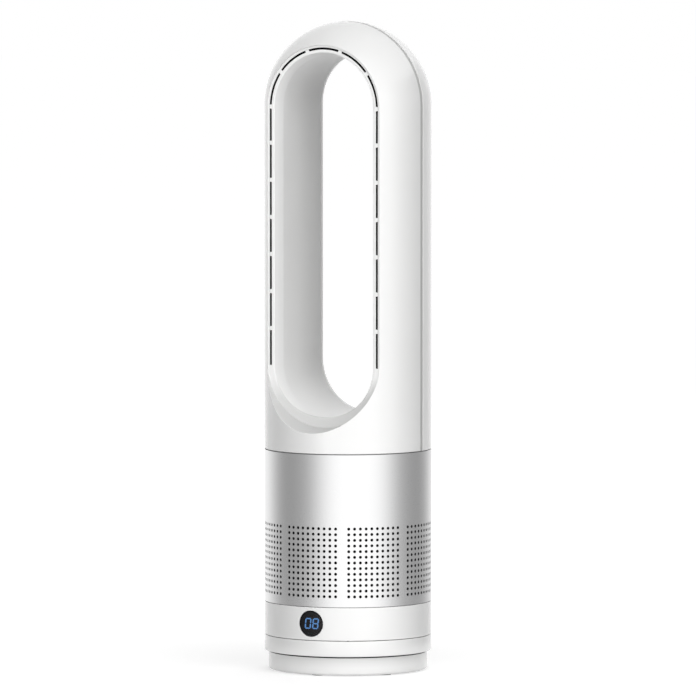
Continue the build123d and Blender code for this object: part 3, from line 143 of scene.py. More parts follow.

# skirt and band
SKIRT_Z = 20.0 * MM
SKIRT_H = 16.0 * MM
BAND_Z = SKIRT_Z + SKIRT_H
FLOOR_Z = 26.0 * MM
SKIRT_ROUND = 1.2 * MM
HUB_IN_R = 11.0 * MM
HUB_OUT_R = 16.0 * MM
DECK_HOLE_R = 6.0 * MM
INNER_EDGE = 0.2 * MM

# display
LENS_INSET = 0.2 * MM
LENS_CLEAR = 0.88  # share of the window's radius inside its black border
LENS_WINDOW = 16.4 * MM  # half width of the window in the band's grid that the display's hole takes
LENS_FACE = (  # rings on the window's face and its rounded rim: share of the radius, depth
    (0.25, 0.0),
    (0.5, 0.0),
    (0.75, 0.0),
    (LENS_CLEAR, 0.0),
    (0.97, 0.0),
    (0.99, 0.1 * MM),
    (1.0, 0.35 * MM),
)
LENS_BACK_SHARES = (1.0, 0.6, 0.3)
LENS_GAP = 0.2 * MM
LENS_LEDGE = 0.8 * MM
SEAT_R = LENS_R + LENS_GAP
SEAT_ROUND = 0.35 * MM
LEDGE_R = LENS_R - LENS_LEDGE
TUBE_R = LENS_R + 1.0 * MM
TUBE_BACK = 73.0 * MM  # from the column's axis

# foot
COVER_GAP = 0.2 * MM
COVER_R = high("foot_cover").x + COVER_GAP
FOOT_ROUND = 3.0 * MM
NECK_GAP = 1.4 * MM  # gap between the foot's shoulder and the skirt, darkened by painted shadow on the neck inside it
NECK_INSET = 1.6 * MM
SHOULDER_Z = SKIRT_Z - NECK_GAP
SHOULDER_EDGE = 0.1 * MM
FOOT_PAINTED_SHADE_LOW = 8.0 * MM  # height where the painted shade under the skirt starts on the foot
INLET_R = 4.4 * MM
INLET_EDGE = 0.3 * MM
INLET_WINDOW = 10.0 * MM  # half width of the inlet's window in the foot's grid
WINDOW_MARGIN = 0.2 * MM

# intake sleeve
SLEEVE_T = 1.0 * MM
SLEEVE_IN_R = BODY_R - SLEEVE_T
SLEEVE_LOW_Z, SLEEVE_TOP_Z = SLEEVE_Z + JOINT_GAP / 2, HEAD_Z - JOINT_GAP / 2
PANELS = 8
HOLE_COLUMNS = 10
HOLE_ROWS = 13
HOLE_R = 1.5 * MM
COLUMN_STEP = radians(4.0)
PANEL_H = 67.7 * MM  # from the lowest row of holes to the highest
ROW_STEP = PANEL_H / (HOLE_ROWS - 1)
PANEL_LOW = 10.9 * MM  # lowest row of holes above the sleeve's lower edge

# fineness of the meshes
ARC_STEPS = 60  # stations on each half circle of the opening
SIDE_STEPS = 10
SHELL_STEPS = 26  # points on the shells' outside, from the opening to the seam
SLOT_STEPS = 10
ROUND_STEPS = 10
CORNER_STEPS = 4  # points on a rounded corner
CORNER_TURN = 48.0  # degrees from straight down to the station that ends where seam and lower edge meet
CORNER_LIMIT = 0.49  # a rounded corner takes less than half of an edge
TURN_STEPS = 192
WINDOW_STEPS = 16
WINDOW_SHARES = (0.0, 0.3, 0.65, 0.85, 1.0)  # loops between a window's border and its hole
LENS_SIDES = 96
HOLE_SIDES = 16
PLAIN_LEVELS = 6
RIM_TRIES = 40  # tries at the depth where a rim meets the head's form
ROUND_MIDDLE = 0.3  # share of its size by which a rounded edge's middle is drawn in
POINTS_PER_METRE = 1e7  # points that agree on a grid this fine are shared
SAME_PLACE = 1e-7  # a value this close to a target is meant to be the target
APART = 1e-6  # heights further apart than this are different ones
LEVEL = 1e-6  # a turn with a smaller cosine counts as level

# -------- shader helpers

NOISE_RANGE = (0.2, 0.8)  # most values of a noise lie between these


def compute(tree, operation, *values):
    """The result of a math node, from numbers and other nodes' outputs."""
    node = tree.nodes.new("ShaderNodeMath")
    node.operation = operation
    for socket, value in zip(node.inputs, values):
        if isinstance(value, bpy.types.NodeSocket):
            tree.links.new(value, socket)
        else:
            socket.default_value = value
    return node.outputs["Value"]


def rescale(tree, value, before, after):
    """A value carried from one range to another and held inside it."""
    node = tree.nodes.new("ShaderNodeMapRange")
    for name, limit in zip(("From Min", "From Max", "To Min", "To Max"), (*before, *after)):
        node.inputs[name].default_value = limit
    tree.links.new(value, node.inputs["Value"])
    return node.outputs["Result"]


def own_space(tree):
    """Places in the piece's own space."""
    return tree.nodes.new("ShaderNodeTexCoord").outputs["Object"]


def own_axes(tree):
    """X, Y and Z in the piece's own space."""
    split = tree.nodes.new("ShaderNodeSeparateXYZ")
    tree.links.new(own_space(tree), split.inputs[0])
    return split.outputs


def noise(tree, scale, detail=4.0, stretch=(1, 1, 1)):
    """A noise that lies in the piece's own space, finer along the axes with a larger stretch."""
    mapping = tree.nodes.new("ShaderNodeMapping")
    mapping.inputs["Scale"].default_value = stretch
    texture = tree.nodes.new("ShaderNodeTexNoise")
    texture.inputs["Scale"].default_value = scale
    texture.inputs["Detail"].default_value = detail
    tree.links.new(own_space(tree), mapping.inputs["Vector"])
    tree.links.new(mapping.outputs["Vector"], texture.inputs["Vector"])
    return texture.outputs["Fac"]


def two_tones(tree, share, tones, limits):
    """A colour that goes from one tone to another as a share crosses its limits."""
    ramp = tree.nodes.new("ShaderNodeValToRGB")
    for stop, limit, tone in zip(ramp.color_ramp.elements, limits, tones):
        stop.position = limit
        stop.color = (*tone, 1)
    tree.links.new(share, ramp.inputs["Fac"])
    return ramp.outputs["Color"]


def vary(shader, socket, cloud, limits):
    """Lets a noise move one of the shader's numbers between two values."""
    tree = shader.id_data
    tree.links.new(rescale(tree, cloud, NOISE_RANGE, limits), shader.inputs[socket])


def roughen(shader, grain, strength, depth):
    """A fine relief on the surface."""
    tree = shader.id_data
    bump = tree.nodes.new("ShaderNodeBump")
    bump.inputs["Strength"].default_value = strength
    bump.inputs["Distance"].default_value = depth
    tree.links.new(grain, bump.inputs["Height"])
    tree.links.new(bump.outputs["Normal"], shader.inputs["Normal"])


# -------- kinds of material

MATERIALS = {}
MOULD_GRAIN = 900.0
MOULD_RELIEF = 0.06
MOULD_DEPTH = 0.05 * MM
CLOUD_SCALE = 14.0
CLOUD_SHADE = 0.99  # a moulded colour goes down to this share of itself
CLOUD_GLOSS = 0.03  # and its roughness up and down by this
DRAWN_GRAIN = 260.0
DRAWN_DEPTH = 0.03 * MM
DRAWN_SMOOTHER, DRAWN_ROUGHER = 0.05, 0.06
GLOW_DIP = 0.9  # lowest share of the lit numbers' brightness
SMOKE_DIP = 0.7  # lowest share of the window's roughness


def principled(name, color, roughness, metallic=0.0, **sockets):
    """The shader of a new material, which MATERIALS keeps. Constant values are set on the shader itself."""
    material = bpy.data.materials.new(name)
    material.use_nodes = True
    material.diffuse_color = (*color, 1)
    MATERIALS[name] = material
    shader = material.node_tree.nodes["Principled BSDF"]
    shader.inputs["Base Color"].default_value = (*color, 1)
    shader.inputs["Roughness"].default_value = roughness
    shader.inputs["Metallic"].default_value = metallic
    for key, value in sockets.items():
        shader.inputs[key.replace("_", " ")].default_value = value
    return shader


def moulded(name, color, roughness, grain=MOULD_GRAIN, relief=MOULD_RELIEF, **sockets):
    """Plastic and what looks like it: an even colour, a slightly uneven gloss and a fine grain."""
    shader = principled(name, color, roughness, **sockets)
    tree = shader.id_data
    cloud = noise(tree, CLOUD_SCALE, detail=1.0)
    vary(shader, "Roughness", cloud, (roughness - CLOUD_GLOSS, roughness + CLOUD_GLOSS))
    darker = tuple(c * CLOUD_SHADE for c in color)
    tree.links.new(two_tones(tree, cloud, (darker, color), NOISE_RANGE), shader.inputs["Base Color"])
    roughen(shader, noise(tree, grain), relief, MOULD_DEPTH)


def paint_shade_with_height(name, lower, upper, low_z, high_z, roughness, **sockets):
    """Moulded plastic that goes from one tone to another with height, as painted shade."""
    shader = principled(name, upper, roughness, **sockets)
    tree = shader.id_data
    share = rescale(tree, own_axes(tree)["Z"], (low_z, high_z), (0.0, 1.0))
    tree.links.new(two_tones(tree, share, (lower, upper), (0.0, 1.0)), shader.inputs["Base Color"])
    roughen(shader, noise(tree, MOULD_GRAIN), MOULD_RELIEF, MOULD_DEPTH)


def drawn(name, color, roughness, stretch, relief=0.08):
    """Metal with a fine drawn grain."""
    shader = principled(name, color, roughness, metallic=1.0)
    grain = noise(shader.id_data, DRAWN_GRAIN, detail=6.0, stretch=stretch)
    vary(shader, "Roughness", grain, (roughness - DRAWN_SMOOTHER, roughness + DRAWN_ROUGHER))
    roughen(shader, grain, relief, DRAWN_DEPTH)


def lit(name, color, strength):
    """Lit numbers: an emitting surface with a soft unevenness."""
    shader = principled(name, color, roughness=0.4)
    shader.inputs["Emission Color"].default_value = (*color, 1)
    cloud = noise(shader.id_data, scale=500.0, detail=1.0)
    vary(shader, "Emission Strength", cloud, (strength * GLOW_DIP, strength))


def smoked(name, color, roughness):
    """Smoked clear plastic, with a faint unevenness in its gloss."""
    shader = principled(name, color, roughness, Transmission_Weight=1.0, IOR=1.43)
    cloud = noise(shader.id_data, scale=60.0, detail=2.0)
    vary(shader, "Roughness", cloud, (roughness * SMOKE_DIP, roughness))


# -------- materials

WHITE = (0.80, 0.80, 0.795)
# the nozzle's satin white, lighter than the shells' as painted light
SATIN_PAINTED_LIGHT_WHITE = (0.84, 0.84, 0.835)
# the foot's white, a little darker than the shells' as painted shade
FOOT_SHADED_WHITE = (0.78, 0.78, 0.775)
# grey of the painted shade on the lip, the foot and the recess wall
PAINTED_SHADE_GREY = (0.64, 0.64, 0.635)
GLOSSY, SATIN = 0.30, 0.42  # roughness of the white plastics
COAT = {"Coat_Weight": 1.0, "Coat_Roughness": 0.15, "Coat_IOR": 1.8}
MATT = {"Specular_IOR_Level": 0.35}

# the white outside: shells, skirt and band are glossy, the nozzle is satin and a little lighter, which partly
# paints in light on its throat and lip
moulded("white_plastic", WHITE, GLOSSY, **COAT)
moulded("satin_plastic", SATIN_PAINTED_LIGHT_WHITE, SATIN, **MATT)

# painted shade on the nozzle's lip along the lower arc: as white as the rest at its ends and greyer towards
# the bottom
LIP_PAINTED_SHADE_SPAN = (OPEN_LOW_Z - LIP_PAINTED_SHADE_LOW, OPEN_LOW_Z - LIP_PAINTED_SHADE_HIGH)
paint_shade_with_height("lip_land_painted_shade", PAINTED_SHADE_GREY, SATIN_PAINTED_LIGHT_WHITE, *LIP_PAINTED_SHADE_SPAN, SATIN, **MATT)

# the foot, with painted shade that turns it greyer towards the skirt's overhang; its white is a little darker
# than the shells', also painted shade
paint_shade_with_height("foot_painted_shade", FOOT_SHADED_WHITE, PAINTED_SHADE_GREY, FOOT_PAINTED_SHADE_LOW, SHOULDER_Z, GLOSSY, **COAT)

# painted shade: grey beside the head's seam, for the shade of a groove there, and on the recess wall round
# the opening
moulded("seam_painted_shade", (0.46, 0.46, 0.455), roughness=0.5)
moulded("recess_painted_shade", PAINTED_SHADE_GREY, roughness=0.5)

# painted shadow: near black in the air slots, behind the shells and in the foot's neck
moulded("painted_shadow_black", (0.012, 0.012, 0.013), roughness=0.9, Specular_IOR_Level=0.1)

# metals
drawn("sleeve_aluminium", (0.866, 0.866, 0.868), roughness=0.30, stretch=(1, 1, 60), relief=0.05)
drawn("steel", (0.60, 0.60, 0.61), roughness=0.32, stretch=(1, 1, 8))
drawn("zinc_steel", (0.55, 0.56, 0.58), roughness=0.38, stretch=(1, 1, 12))
drawn("lamination_steel", (0.36, 0.36, 0.38), roughness=0.45, stretch=(1, 1, 90), relief=0.5)
drawn("copper", (0.72, 0.36, 0.19), roughness=0.35, stretch=(60, 60, 1), relief=0.6)
drawn("carrier_alloy", (0.66, 0.66, 0.67), roughness=0.4, stretch=(1, 1, 4))

# inner plastics, rubber, foam, magnets and circuit boards
moulded("rubber", (0.035, 0.035, 0.036), roughness=0.75, grain=400.0, relief=0.3)
moulded("foam", (0.03, 0.03, 0.032), roughness=0.95, grain=1500.0, relief=1.0)
moulded("acetal", (0.74, 0.74, 0.70), roughness=0.42)
moulded("magnet", (0.10, 0.10, 0.11), roughness=0.4, grain=300.0, relief=0.1)
moulded("circuit_board", (0.02, 0.16, 0.07), roughness=0.35, grain=160.0, relief=0.15)
moulded("black_plastic", (0.02, 0.02, 0.02), roughness=0.4)
moulded("grey_plastic", (0.24, 0.245, 0.25), roughness=0.45)

# display
smoked("lens", (0.05, 0.055, 0.065), roughness=0.02)
moulded("lens_border", (0.005, 0.005, 0.006), roughness=0.25, Specular_IOR_Level=0.25)
lit("lit_digits", (0.17, 0.40, 0.74), strength=12.0)

# materials of the skins, and the places in these lists that a face's shade refers to
SHELL_MATERIALS = ["white_plastic", "painted_shadow_black", "seam_painted_shade", "recess_painted_shade"]
NOZZLE_MATERIALS = ["satin_plastic", "painted_shadow_black", "lip_land_painted_shade"]
FOOT_MATERIALS = ["foot_painted_shade", "painted_shadow_black"]
LENS_MATERIALS = ["lens", "lens_border"]
# on the shells, the nozzle and the foot the second material is the near-black painted shadow
MAIN_FACE, PAINTED_SHADOW_FACE = 0, 1
PAINTED_SEAM_FACE, PAINTED_RECESS_FACE = 2, 3  # on the head shells, painted shade beside the seam and in the recess
PAINTED_LIP_FACE = 2  # on the nozzle, painted shade on the lip along the lower arc
BORDER_FACE = 1  # on the display's window

# -------- mesh helpers


def spread(first, last, steps):
    """Evenly spaced numbers from the first to the last."""
    return [first + (last - first) * k / steps for k in range(steps + 1)]


def circle(count):
    """Evenly spaced turns round a full circle."""
    return [2 * pi * k / count for k in range(count)]


def around(loop):
    """Each item of a closed loop with the one after it."""
    return list(zip(loop, loop[1:] + loop[:1]))


def add_object(name, data):
    """A new object in the scene."""
    obj = bpy.data.objects.new(name, data)
    bpy.context.scene.collection.objects.link(obj)
    return obj


class Skin:
    """Points and faces of one closed skin. Points that fall together are shared."""

    def __init__(self):
        self.points, self.faces, self.shades, self.index = [], [], [], {}

    def vertex(self, point):
        """The number of a point, which is kept if it is new."""
        key = tuple(round(c * POINTS_PER_METRE) for c in point)
        if key not in self.index:
            self.index[key] = len(self.points)
            self.points.append(tuple(point))
        return self.index[key]

    def face(self, corners, shade=MAIN_FACE):
        """A face with its corners anticlockwise from outside. Corners that fall together are dropped."""
        ids = []
        for corner in corners:
            vertex = self.vertex(corner)
            if vertex not in ids:
                ids.append(vertex)
        if len(ids) > 2:
            self.faces.append(ids)
            self.shades.append(shade)

    def strip(self, ring, next_ring, shade=MAIN_FACE):
        """Quads between two closed rings of the same number of points."""
        for (a, b), (next_a, next_b) in zip(around(ring), around(next_ring)):
            self.face((a, b, next_b, next_a), shade)

    def tube(self, rings):
        """Strips from each ring to the next."""
        for ring, following in zip(rings, rings[1:]):
            self.strip(ring, following)

    def piece(self, name, materials, body, node, crease=38.0):
        """The finished piece: shading with creases, materials, body and the node it stands for."""
        mesh = bpy.data.meshes.new(name)
        mesh.from_pydata(self.points, [], self.faces)
        for material in materials:
            mesh.materials.append(MATERIALS[material])
        mesh.polygons.foreach_set("use_smooth", [True] * len(mesh.polygons))
        mesh.polygons.foreach_set("material_index", self.shades)
        mesh.set_sharp_from_angle(angle=radians(crease))
        obj = add_object(name, mesh)
        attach(obj, body)
        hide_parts(node)
        return obj


def even(radius):
    """A corner that loses as much on both sides."""
    return (radius, radius)


def soften(points, corners):
    """A closed loop of points whose marked corners are rounded. corners maps an index to the lengths taken
    off the edge before and the edge after it. Also gives the new place of every old point."""
    out, places = [], []
    count = len(points)
    for i, point in enumerate(points):
        point = Vector(point)
        places.append(len(out))
        if i not in corners:
            out.append(point)
            continue
        before, after = Vector(points[i - 1]) - point, Vector(points[(i + 1) % count]) - point
        back, on = corners[i]
        first = point + before.normalized() * min(back, before.length * CORNER_LIMIT)
        last = point + after.normalized() * min(on, after.length * CORNER_LIMIT)
        for t in spread(0, 1, CORNER_STEPS):
            out.append(first * (1 - t) ** 2 + point * (2 * t * (1 - t)) + last * t**2)
    return out, places


def shade_edges(points, *runs):
    """A section's points, and the shade of each of its edges. A run is a shade and the edge that it ends
    before. Edges after the last run take the near-black painted shadow."""
    shades = []
    for shade, end in runs:
        shades += [shade] * (end - len(shades))
    return points, shades + [PAINTED_SHADOW_FACE] * (len(points) - len(shades))


def loft(skin, sections, inward=False):
    """Closed sections joined all the way round. Each is its ring of points and the shades of its edges."""
    if inward:
        sections = sections[::-1]
    for (ring, shades), (following, _) in around(sections):
        for (a, b), (next_a, next_b), shade in zip(around(ring), around(following), shades):
            skin.face((a, b, next_b, next_a), shade)


# -------- head: stations round the opening

RIGHT, LEFT = radians(90), radians(270)


def stations():
    """(turn, centre height) of every section round the opening: under the lower arc, up the right side,
    over the crown and down the left side. Turn is 0 straight down and 90 degrees at the right side."""
    stops = spread(OPEN_LOW_Z, OPEN_TOP_Z, SIDE_STEPS)[1:-1]
    arc = spread(-90, 90, ARC_STEPS)
    ring = [(radians(a), OPEN_LOW_Z) for a in arc]
    ring += [(RIGHT, z) for z in stops]
    ring += [(radians(a + 180), OPEN_TOP_Z) for a in arc]
    ring += [(LEFT, z) for z in reversed(stops)]
    return ring


def is_level(turn):
    """True at the sides, where a section lies level."""
    return abs(cos(turn)) < LEVEL


def place(w, y, station):
    """The point at a distance from the opening's spine and a depth, at one station."""
    turn, centre = station
    return Vector((w * sin(turn), y, centre - w * cos(turn)))


def crown_drop(station):
    """How far a station's centre lies below the middle of the crown that its section meets."""
    turn, centre = station
    return ARCH_Z - centre if centre == OPEN_TOP_Z and not is_level(turn) else 0.0


def form_w(radius, depth, station):
    """Distance from the opening's spine to the head's form at a depth, on the sides and over the crown."""
    turn, drop = station[0], crown_drop(station)
    return sqrt(radius**2 - depth**2 - (drop * sin(turn)) ** 2) - drop * cos(turn)


def rim_edge(edge_w, draft, radius, station):
    """Distance from the spine and depth where a drafted rim meets the head's form of a given radius."""
    turn, centre = station
    across = sin(turn) if centre <= OPEN_LOW_Z else 1.0  # under the lower arc the form is upright
    drop = crown_drop(station)
    depth = radius
    for _ in range(RIM_TRIES):
        w = edge_w + (depth - LIP_DEPTH) * draft
        depth = sqrt(max(radius**2 - (w * across) ** 2 - drop * (2 * w * cos(turn) + drop), 0))
    return edge_w + (depth - LIP_DEPTH) * draft, depth


def rows_above(radius, depth, station, side, seam):
    """Points on the sides and over the crown, from the rim at a depth to the seam."""
    depths = [radius * cos(a) for a in spread(acos(depth / radius), acos(seam / radius), SHELL_STEPS)]
    return [place(form_w(radius, d, station), side * d, station) for d in depths]


def rows_below(radius, w, station, side, seam, bottom):
    """Points under the lower arc, from the rim to the lower edge or, past the corner, to the seam."""
    turn = degrees(station[0])
    rim = place(w, 0, station)
    end_a, end_z = acos(seam / radius), bottom
    if abs(turn) < CORNER_TURN:
        end_a *= abs(turn) / CORNER_TURN
    else:
        end_z += (OPEN_LOW_Z - bottom) * (abs(turn) - CORNER_TURN) / (90 - CORNER_TURN)
    end_a *= 1 if turn >= 0 else -1
    turns = spread(asin(max(-1.0, min(1.0, rim.x / radius))), end_a, SHELL_STEPS)
    heights = spread(rim.z, end_z, SHELL_STEPS)
    return [Vector((radius * sin(a), side * radius * cos(a), z)) for a, z in zip(turns, heights)]


def outer_rows(edge_w, draft, radius, station, side, seam, bottom):
    """Points on the head's form of a given radius, from the rim to the seam or the lower edge. side is -1
    before and 1 behind the middle plane, and seam is the distance from it where the points end."""
    turn, centre = station
    w, depth = rim_edge(edge_w, draft, radius, station)
    if centre > OPEN_LOW_Z or is_level(turn):
        return rows_above(radius, depth, station, side, seam)
    return rows_below(radius, w, station, side, seam, bottom)


def front_section(station):
    """The front shell's section: slot wall, lip, recess wall, outside, seam strip and inside."""
    back, lip = -(LIP_DEPTH - SLOT_DEPTH), -LIP_DEPTH
    chamfer_z = HEAD_LOW_Z + CHAMFER_H

    def rows(edge_w, radius, seam, bottom):
        return outer_rows(edge_w, FRONT_DRAFT, radius, station, -1, seam, bottom)

    outside = rows(LIP_EDGE_W, BODY_R, SEAM_RUN, chamfer_z)
    step = rows(LIP_EDGE_W, BODY_R - SEAM_STEP, SEAM_RUN - SEAM_STEP_RUN, chamfer_z - SEAM_STEP_RUN)[-1]
    strip = rows(LIP_EDGE_W, BODY_R - SEAM_DROP, SEAM_GAP / 2, HEAD_LOW_Z)[-1]
    inside = rows(LIP_EDGE_W + COLLAR_T, HEAD_IN_R, SEAM_GAP / 2, HEAD_LOW_Z)
    start = [place(SLOT_OUT, back, station), place(SLOT_OUT, lip, station), place(LIP_EDGE_W, lip, station)]
    close = [place(SLOT_OUT + COLLAR_T, back, station)]
    corners = {1: even(FINE_EDGE), 2: even(FINE_EDGE), 3: even(SOFT_EDGE)}
    points, places = soften(start + outside + [step, strip] + inside[::-1] + close, corners)
    recess, rim, last_out = places[2] + CORNER_STEPS, places[3], places[len(start) + len(outside) - 1]
    # the recess wall and the strip beside the seam take painted shade, the slot wall and the inside painted
    # shadow
    runs = ((PAINTED_SHADOW_FACE, 1), (MAIN_FACE, recess), (PAINTED_RECESS_FACE, rim), (MAIN_FACE, last_out))
    return shade_edges(points, *runs, (PAINTED_SEAM_FACE, last_out + 2))


def rear_section(station):
    """The rear shell's section: seat, rounded edge, outside, seam, inside and the collar round the nozzle."""
    start_y, lip = LIP_DEPTH - REAR_ROUND, LIP_DEPTH
    edge_w = THROAT_W + REAR_ROUND
    collar_in = THROAT_W + NOZZLE_T + SEAL_T
    collar_out = collar_in + COLLAR_T
    seat = NOZZLE_REAR + SEAT_GAP

    def rows(edge_w, radius):
        return outer_rows(edge_w, REAR_DRAFT, radius, station, 1, SEAM_GAP / 2, HEAD_LOW_Z)

    outside, inside = rows(edge_w, BODY_R), rows(edge_w + COLLAR_T, HEAD_IN_R)
    turns = spread(0, pi / 2, ROUND_STEPS)
    arc = [place(edge_w - REAR_ROUND * cos(a), start_y + REAR_ROUND * sin(a), station) for a in turns]
    start = [place(THROAT_W, seat, station)]
    close = [
        place(edge_w + COLLAR_T, lip - COLLAR_T, station),
        place(collar_out, start_y, station),
        place(collar_out, seat - COLLAR_L, station),
        place(collar_in, seat - COLLAR_L, station),
        place(collar_in, seat, station),
    ]
    first_out = len(start) + len(arc)
    seam = first_out + len(outside) - 1
    corners = {0: even(SEAT_EDGE), first_out: even(SOFT_EDGE), seam: even(SEAM_DROP)}
    points, places = soften(start + arc + outside + inside[::-1] + close, corners)
    # past the seam's rounding, the inside and the collar take the near-black painted shadow
    return shade_edges(points, (MAIN_FACE, places[seam] + CORNER_STEPS + 1))


def head_shells():
    """The two halves of the head, which part at the seam in the middle plane."""
    shells = (("head_front_shell", front_section, False), ("head_rear_shell", rear_section, True))
    for name, section, inward in shells:
        skin = Skin()
        loft(skin, [section(station) for station in stations()], inward)
        skin.piece(name + "_skin", SHELL_MATERIALS, "turret", name)


def slot_side_stops():
    """Heights on the straight sides where the nozzle's bridges start and end: (height, bridge)."""
    step = (ARCH_Z - LOWER_Z) / SLOT_SIDE_COUNT
    half = BRIDGE_L / 2
    side = []
    for k in range(1, SLOT_SIDE_COUNT):
        z = LOWER_Z + k * step
        side += [(z - half - BRIDGE_RAMP, False), (z - half, True)]
        side += [(z + half, True), (z + half + BRIDGE_RAMP, False)]
    side += [(OPEN_TOP_Z - half - BRIDGE_RAMP, False), (OPEN_TOP_Z - half, True)]
    return side


def slot_arc_stops():
    """Degrees over the upper arc where the nozzle's bridges start and end: (degrees, bridge)."""
    half, ramp = degrees(BRIDGE_L / 2 / SLOT_MID_W), degrees(BRIDGE_RAMP / SLOT_MID_W)
    step = 180 / SLOT_ARC_COUNT
    turns = [(0.0, True)]
    for k in range(SLOT_ARC_COUNT):
        first, last = k * step + half, (k + 1) * step - half
        open_run = [(a, False) for a in spread(first + ramp, last - ramp, SLOT_STEPS)]
        turns += [(first, True), *open_run, (last, True), ((k + 1) * step, True)]
    return turns


def nozzle_stations():
    """Stations round the nozzle, each with True where a bridge closes the slot. Under the lower arc it is
    closed, apart from the arc's ends, where the lowest slots start."""
    closed_turn = degrees(acos((OPEN_LOW_Z - LOWER_Z) / SLOT_MID_W))
    open_turn = closed_turn + degrees(BRIDGE_RAMP / SLOT_MID_W)
    lower = [(a, True) for a in spread(-closed_turn, closed_turn, ARC_STEPS)]
    lower = [(-90, False), (-open_turn, False), *lower, (open_turn, False), (90, False)]
    side = slot_side_stops()
    marks = [((radians(a), OPEN_LOW_Z), closed) for a, closed in lower]
    marks += [((RIGHT, z), closed) for z, closed in side]
    marks += [((radians(90 + a), OPEN_TOP_Z), closed) for a, closed in slot_arc_stops()]
    marks += [((LEFT, z), closed) for z, closed in reversed(side)]
    return marks


def nozzle_section(station, closed):
    """The nozzle's section: slot wall or bridge, lip, sloping entry, throat and back."""
    turn, centre = station
    lip, entry, back = LIP_DEPTH, LIP_DEPTH - CREST_ROUND - CREST_RUN, LIP_DEPTH - SLOT_DEPTH
    crest = SLOT_IN - CREST_LAND
    outer, outer_back = BRIDGE_W if closed else SLOT_IN, back
    lip_shade_face = MAIN_FACE
    # along the lower arc the lip takes painted shade
    if centre == OPEN_LOW_Z:
        lip_shade_face = PAINTED_LIP_FACE
        crest -= CREST_WIDEN * cos(turn) ** 4
        if closed:
            outer, outer_back, lip = FLANGE_W, LIP_DEPTH - FLANGE_T, LIP_DEPTH + FLANGE_T
    outline = [
        (outer, -outer_back),
        (outer, -lip),
        (crest, -lip),
        (THROAT_W, -entry),
        (THROAT_W, NOZZLE_REAR),
        (THROAT_W + NOZZLE_T, NOZZLE_REAR),
        (THROAT_W + NOZZLE_T, -(entry - NOZZLE_T)),
        (SLOT_IN, -back + SLOT_HEEL),
    ]
    corners = {1: even(FINE_EDGE), 2: even(CREST_ROUND), 3: even(ENTRY_ROUND), 4: even(SEAT_EDGE)}
    points, places = soften([place(w, y, station) for w, y in outline], corners)
    lip_end, throat_end = places[2] + CORNER_STEPS, places[5]
    return shade_edges(points, (PAINTED_SHADOW_FACE, 1), (lip_shade_face, lip_end), (MAIN_FACE, throat_end))


def nozzle():
    """The ring that lines the opening, with bridges across the air slot."""
    skin = Skin()
    loft(skin, [nozzle_section(station, closed) for station, closed in nozzle_stations()], inward=True)
    skin.piece("air_nozzle_ring", NOZZLE_MATERIALS, "turret", "air_nozzle")


# -------- turned pieces and round holes in them


def on_axis(radius, z, turn):
    """A point at a radius and height, at a turn about the column's axis."""
    return Vector((radius * cos(turn), radius * sin(turn), z))


def on_wall(radius, spots):
    """Points on an upright wall of a given radius. Each spot is (turn, height)."""
    return [on_axis(radius, z, turn) for turn, z in spots]


class Hole:
    """A round hole bored level through a turned wall. Its patch is a window in the wall's grid."""

    def __init__(self, turn, z, half_turn, low_z, high_z):
        self.turn, self.z, self.half_turn, self.low_z, self.high_z = turn, z, half_turn, low_z, high_z

    def turns(self):
        """Turns of the window's grid."""
        return [self.turn + a for a in spread(-self.half_turn, self.half_turn, WINDOW_STEPS)]

    def heights(self):
        """Heights of the window's grid."""
        return spread(self.low_z, self.high_z, WINDOW_STEPS)

    def border(self):
        """(turn, height) of the window's border, anticlockwise from its lower left corner."""
        turns, heights = self.turns(), self.heights()
        spots = [(t, heights[0]) for t in turns[:-1]] + [(turns[-1], z) for z in heights[:-1]]
        spots += [(t, heights[-1]) for t in turns[:0:-1]] + [(turns[0], z) for z in heights[:0:-1]]
        return spots

    def bearings(self, wall_r):
        """Direction from the hole's middle to each spot of the border, on a wall of a given radius."""
        return [atan2(z - self.z, wall_r * (t - self.turn)) for t, z in self.border()]

    def rim(self, radius, wall_r, bearings):
        """The hole's outline on the wall, as (turn, height)."""
        return [(self.turn + asin(radius * cos(b) / wall_r), self.z + radius * sin(b)) for b in bearings]

    def ring_on_wall(self, radius, wall_r, bearings):
        """The hole's outline on the wall, as points."""
        return on_wall(wall_r, self.rim(radius, wall_r, bearings))

    def ring_at_depth(self, radius, depth, bearings):
        """A flat circle at a distance from the column's axis."""
        ahead = Vector((cos(self.turn), sin(self.turn), 0))
        aside = Vector((-sin(self.turn), cos(self.turn), 0))
        up = Vector((0, 0, 1))
        middle = ahead * depth + up * self.z
        return [middle + aside * radius * cos(b) + up * radius * sin(b) for b in bearings]

    def patch(self, skin, radius, wall_r, bearings, inward=False):
        """The wall between the window's border and the hole."""
        border, rim = self.border(), self.rim(radius, wall_r, bearings)
        loops = []
        for share in WINDOW_SHARES:
            turns = [b[0] * (1 - share) + r[0] * share for b, r in zip(border, rim)]
            heights = [b[1] * (1 - share) + r[1] * share for b, r in zip(border, rim)]
            loops.append(on_wall(wall_r, zip(turns, heights)))
        for outer, inner in zip(loops, loops[1:]):
            if inward:
                skin.strip(inner, outer)
            else:
                skin.strip(outer, inner)


def snap(value, targets):
    """The target that a value falls on, so that points meant to coincide do."""
    return next((t for t in targets if abs(value - t) < SAME_PLACE), value)


def wall_profile(outline, corners, walls, heights):
    """The outline with its corners rounded, and with a point at each of a window's heights on the walls."""
    loop, _ = soften([(r, z, 0) for r, z in outline], corners)
    spots = [(snap(p.x, walls), snap(p.y, heights)) for p in loop]
    profile = []
    for (r, z), (next_r, next_z) in around(spots):
        profile.append((r, z))
        if r == next_r and r in walls:
            steps = heights if z < next_z else heights[::-1]
            profile += [(r, h) for h in steps if min(z, next_z) + APART < h < max(z, next_z) - APART]
    return profile


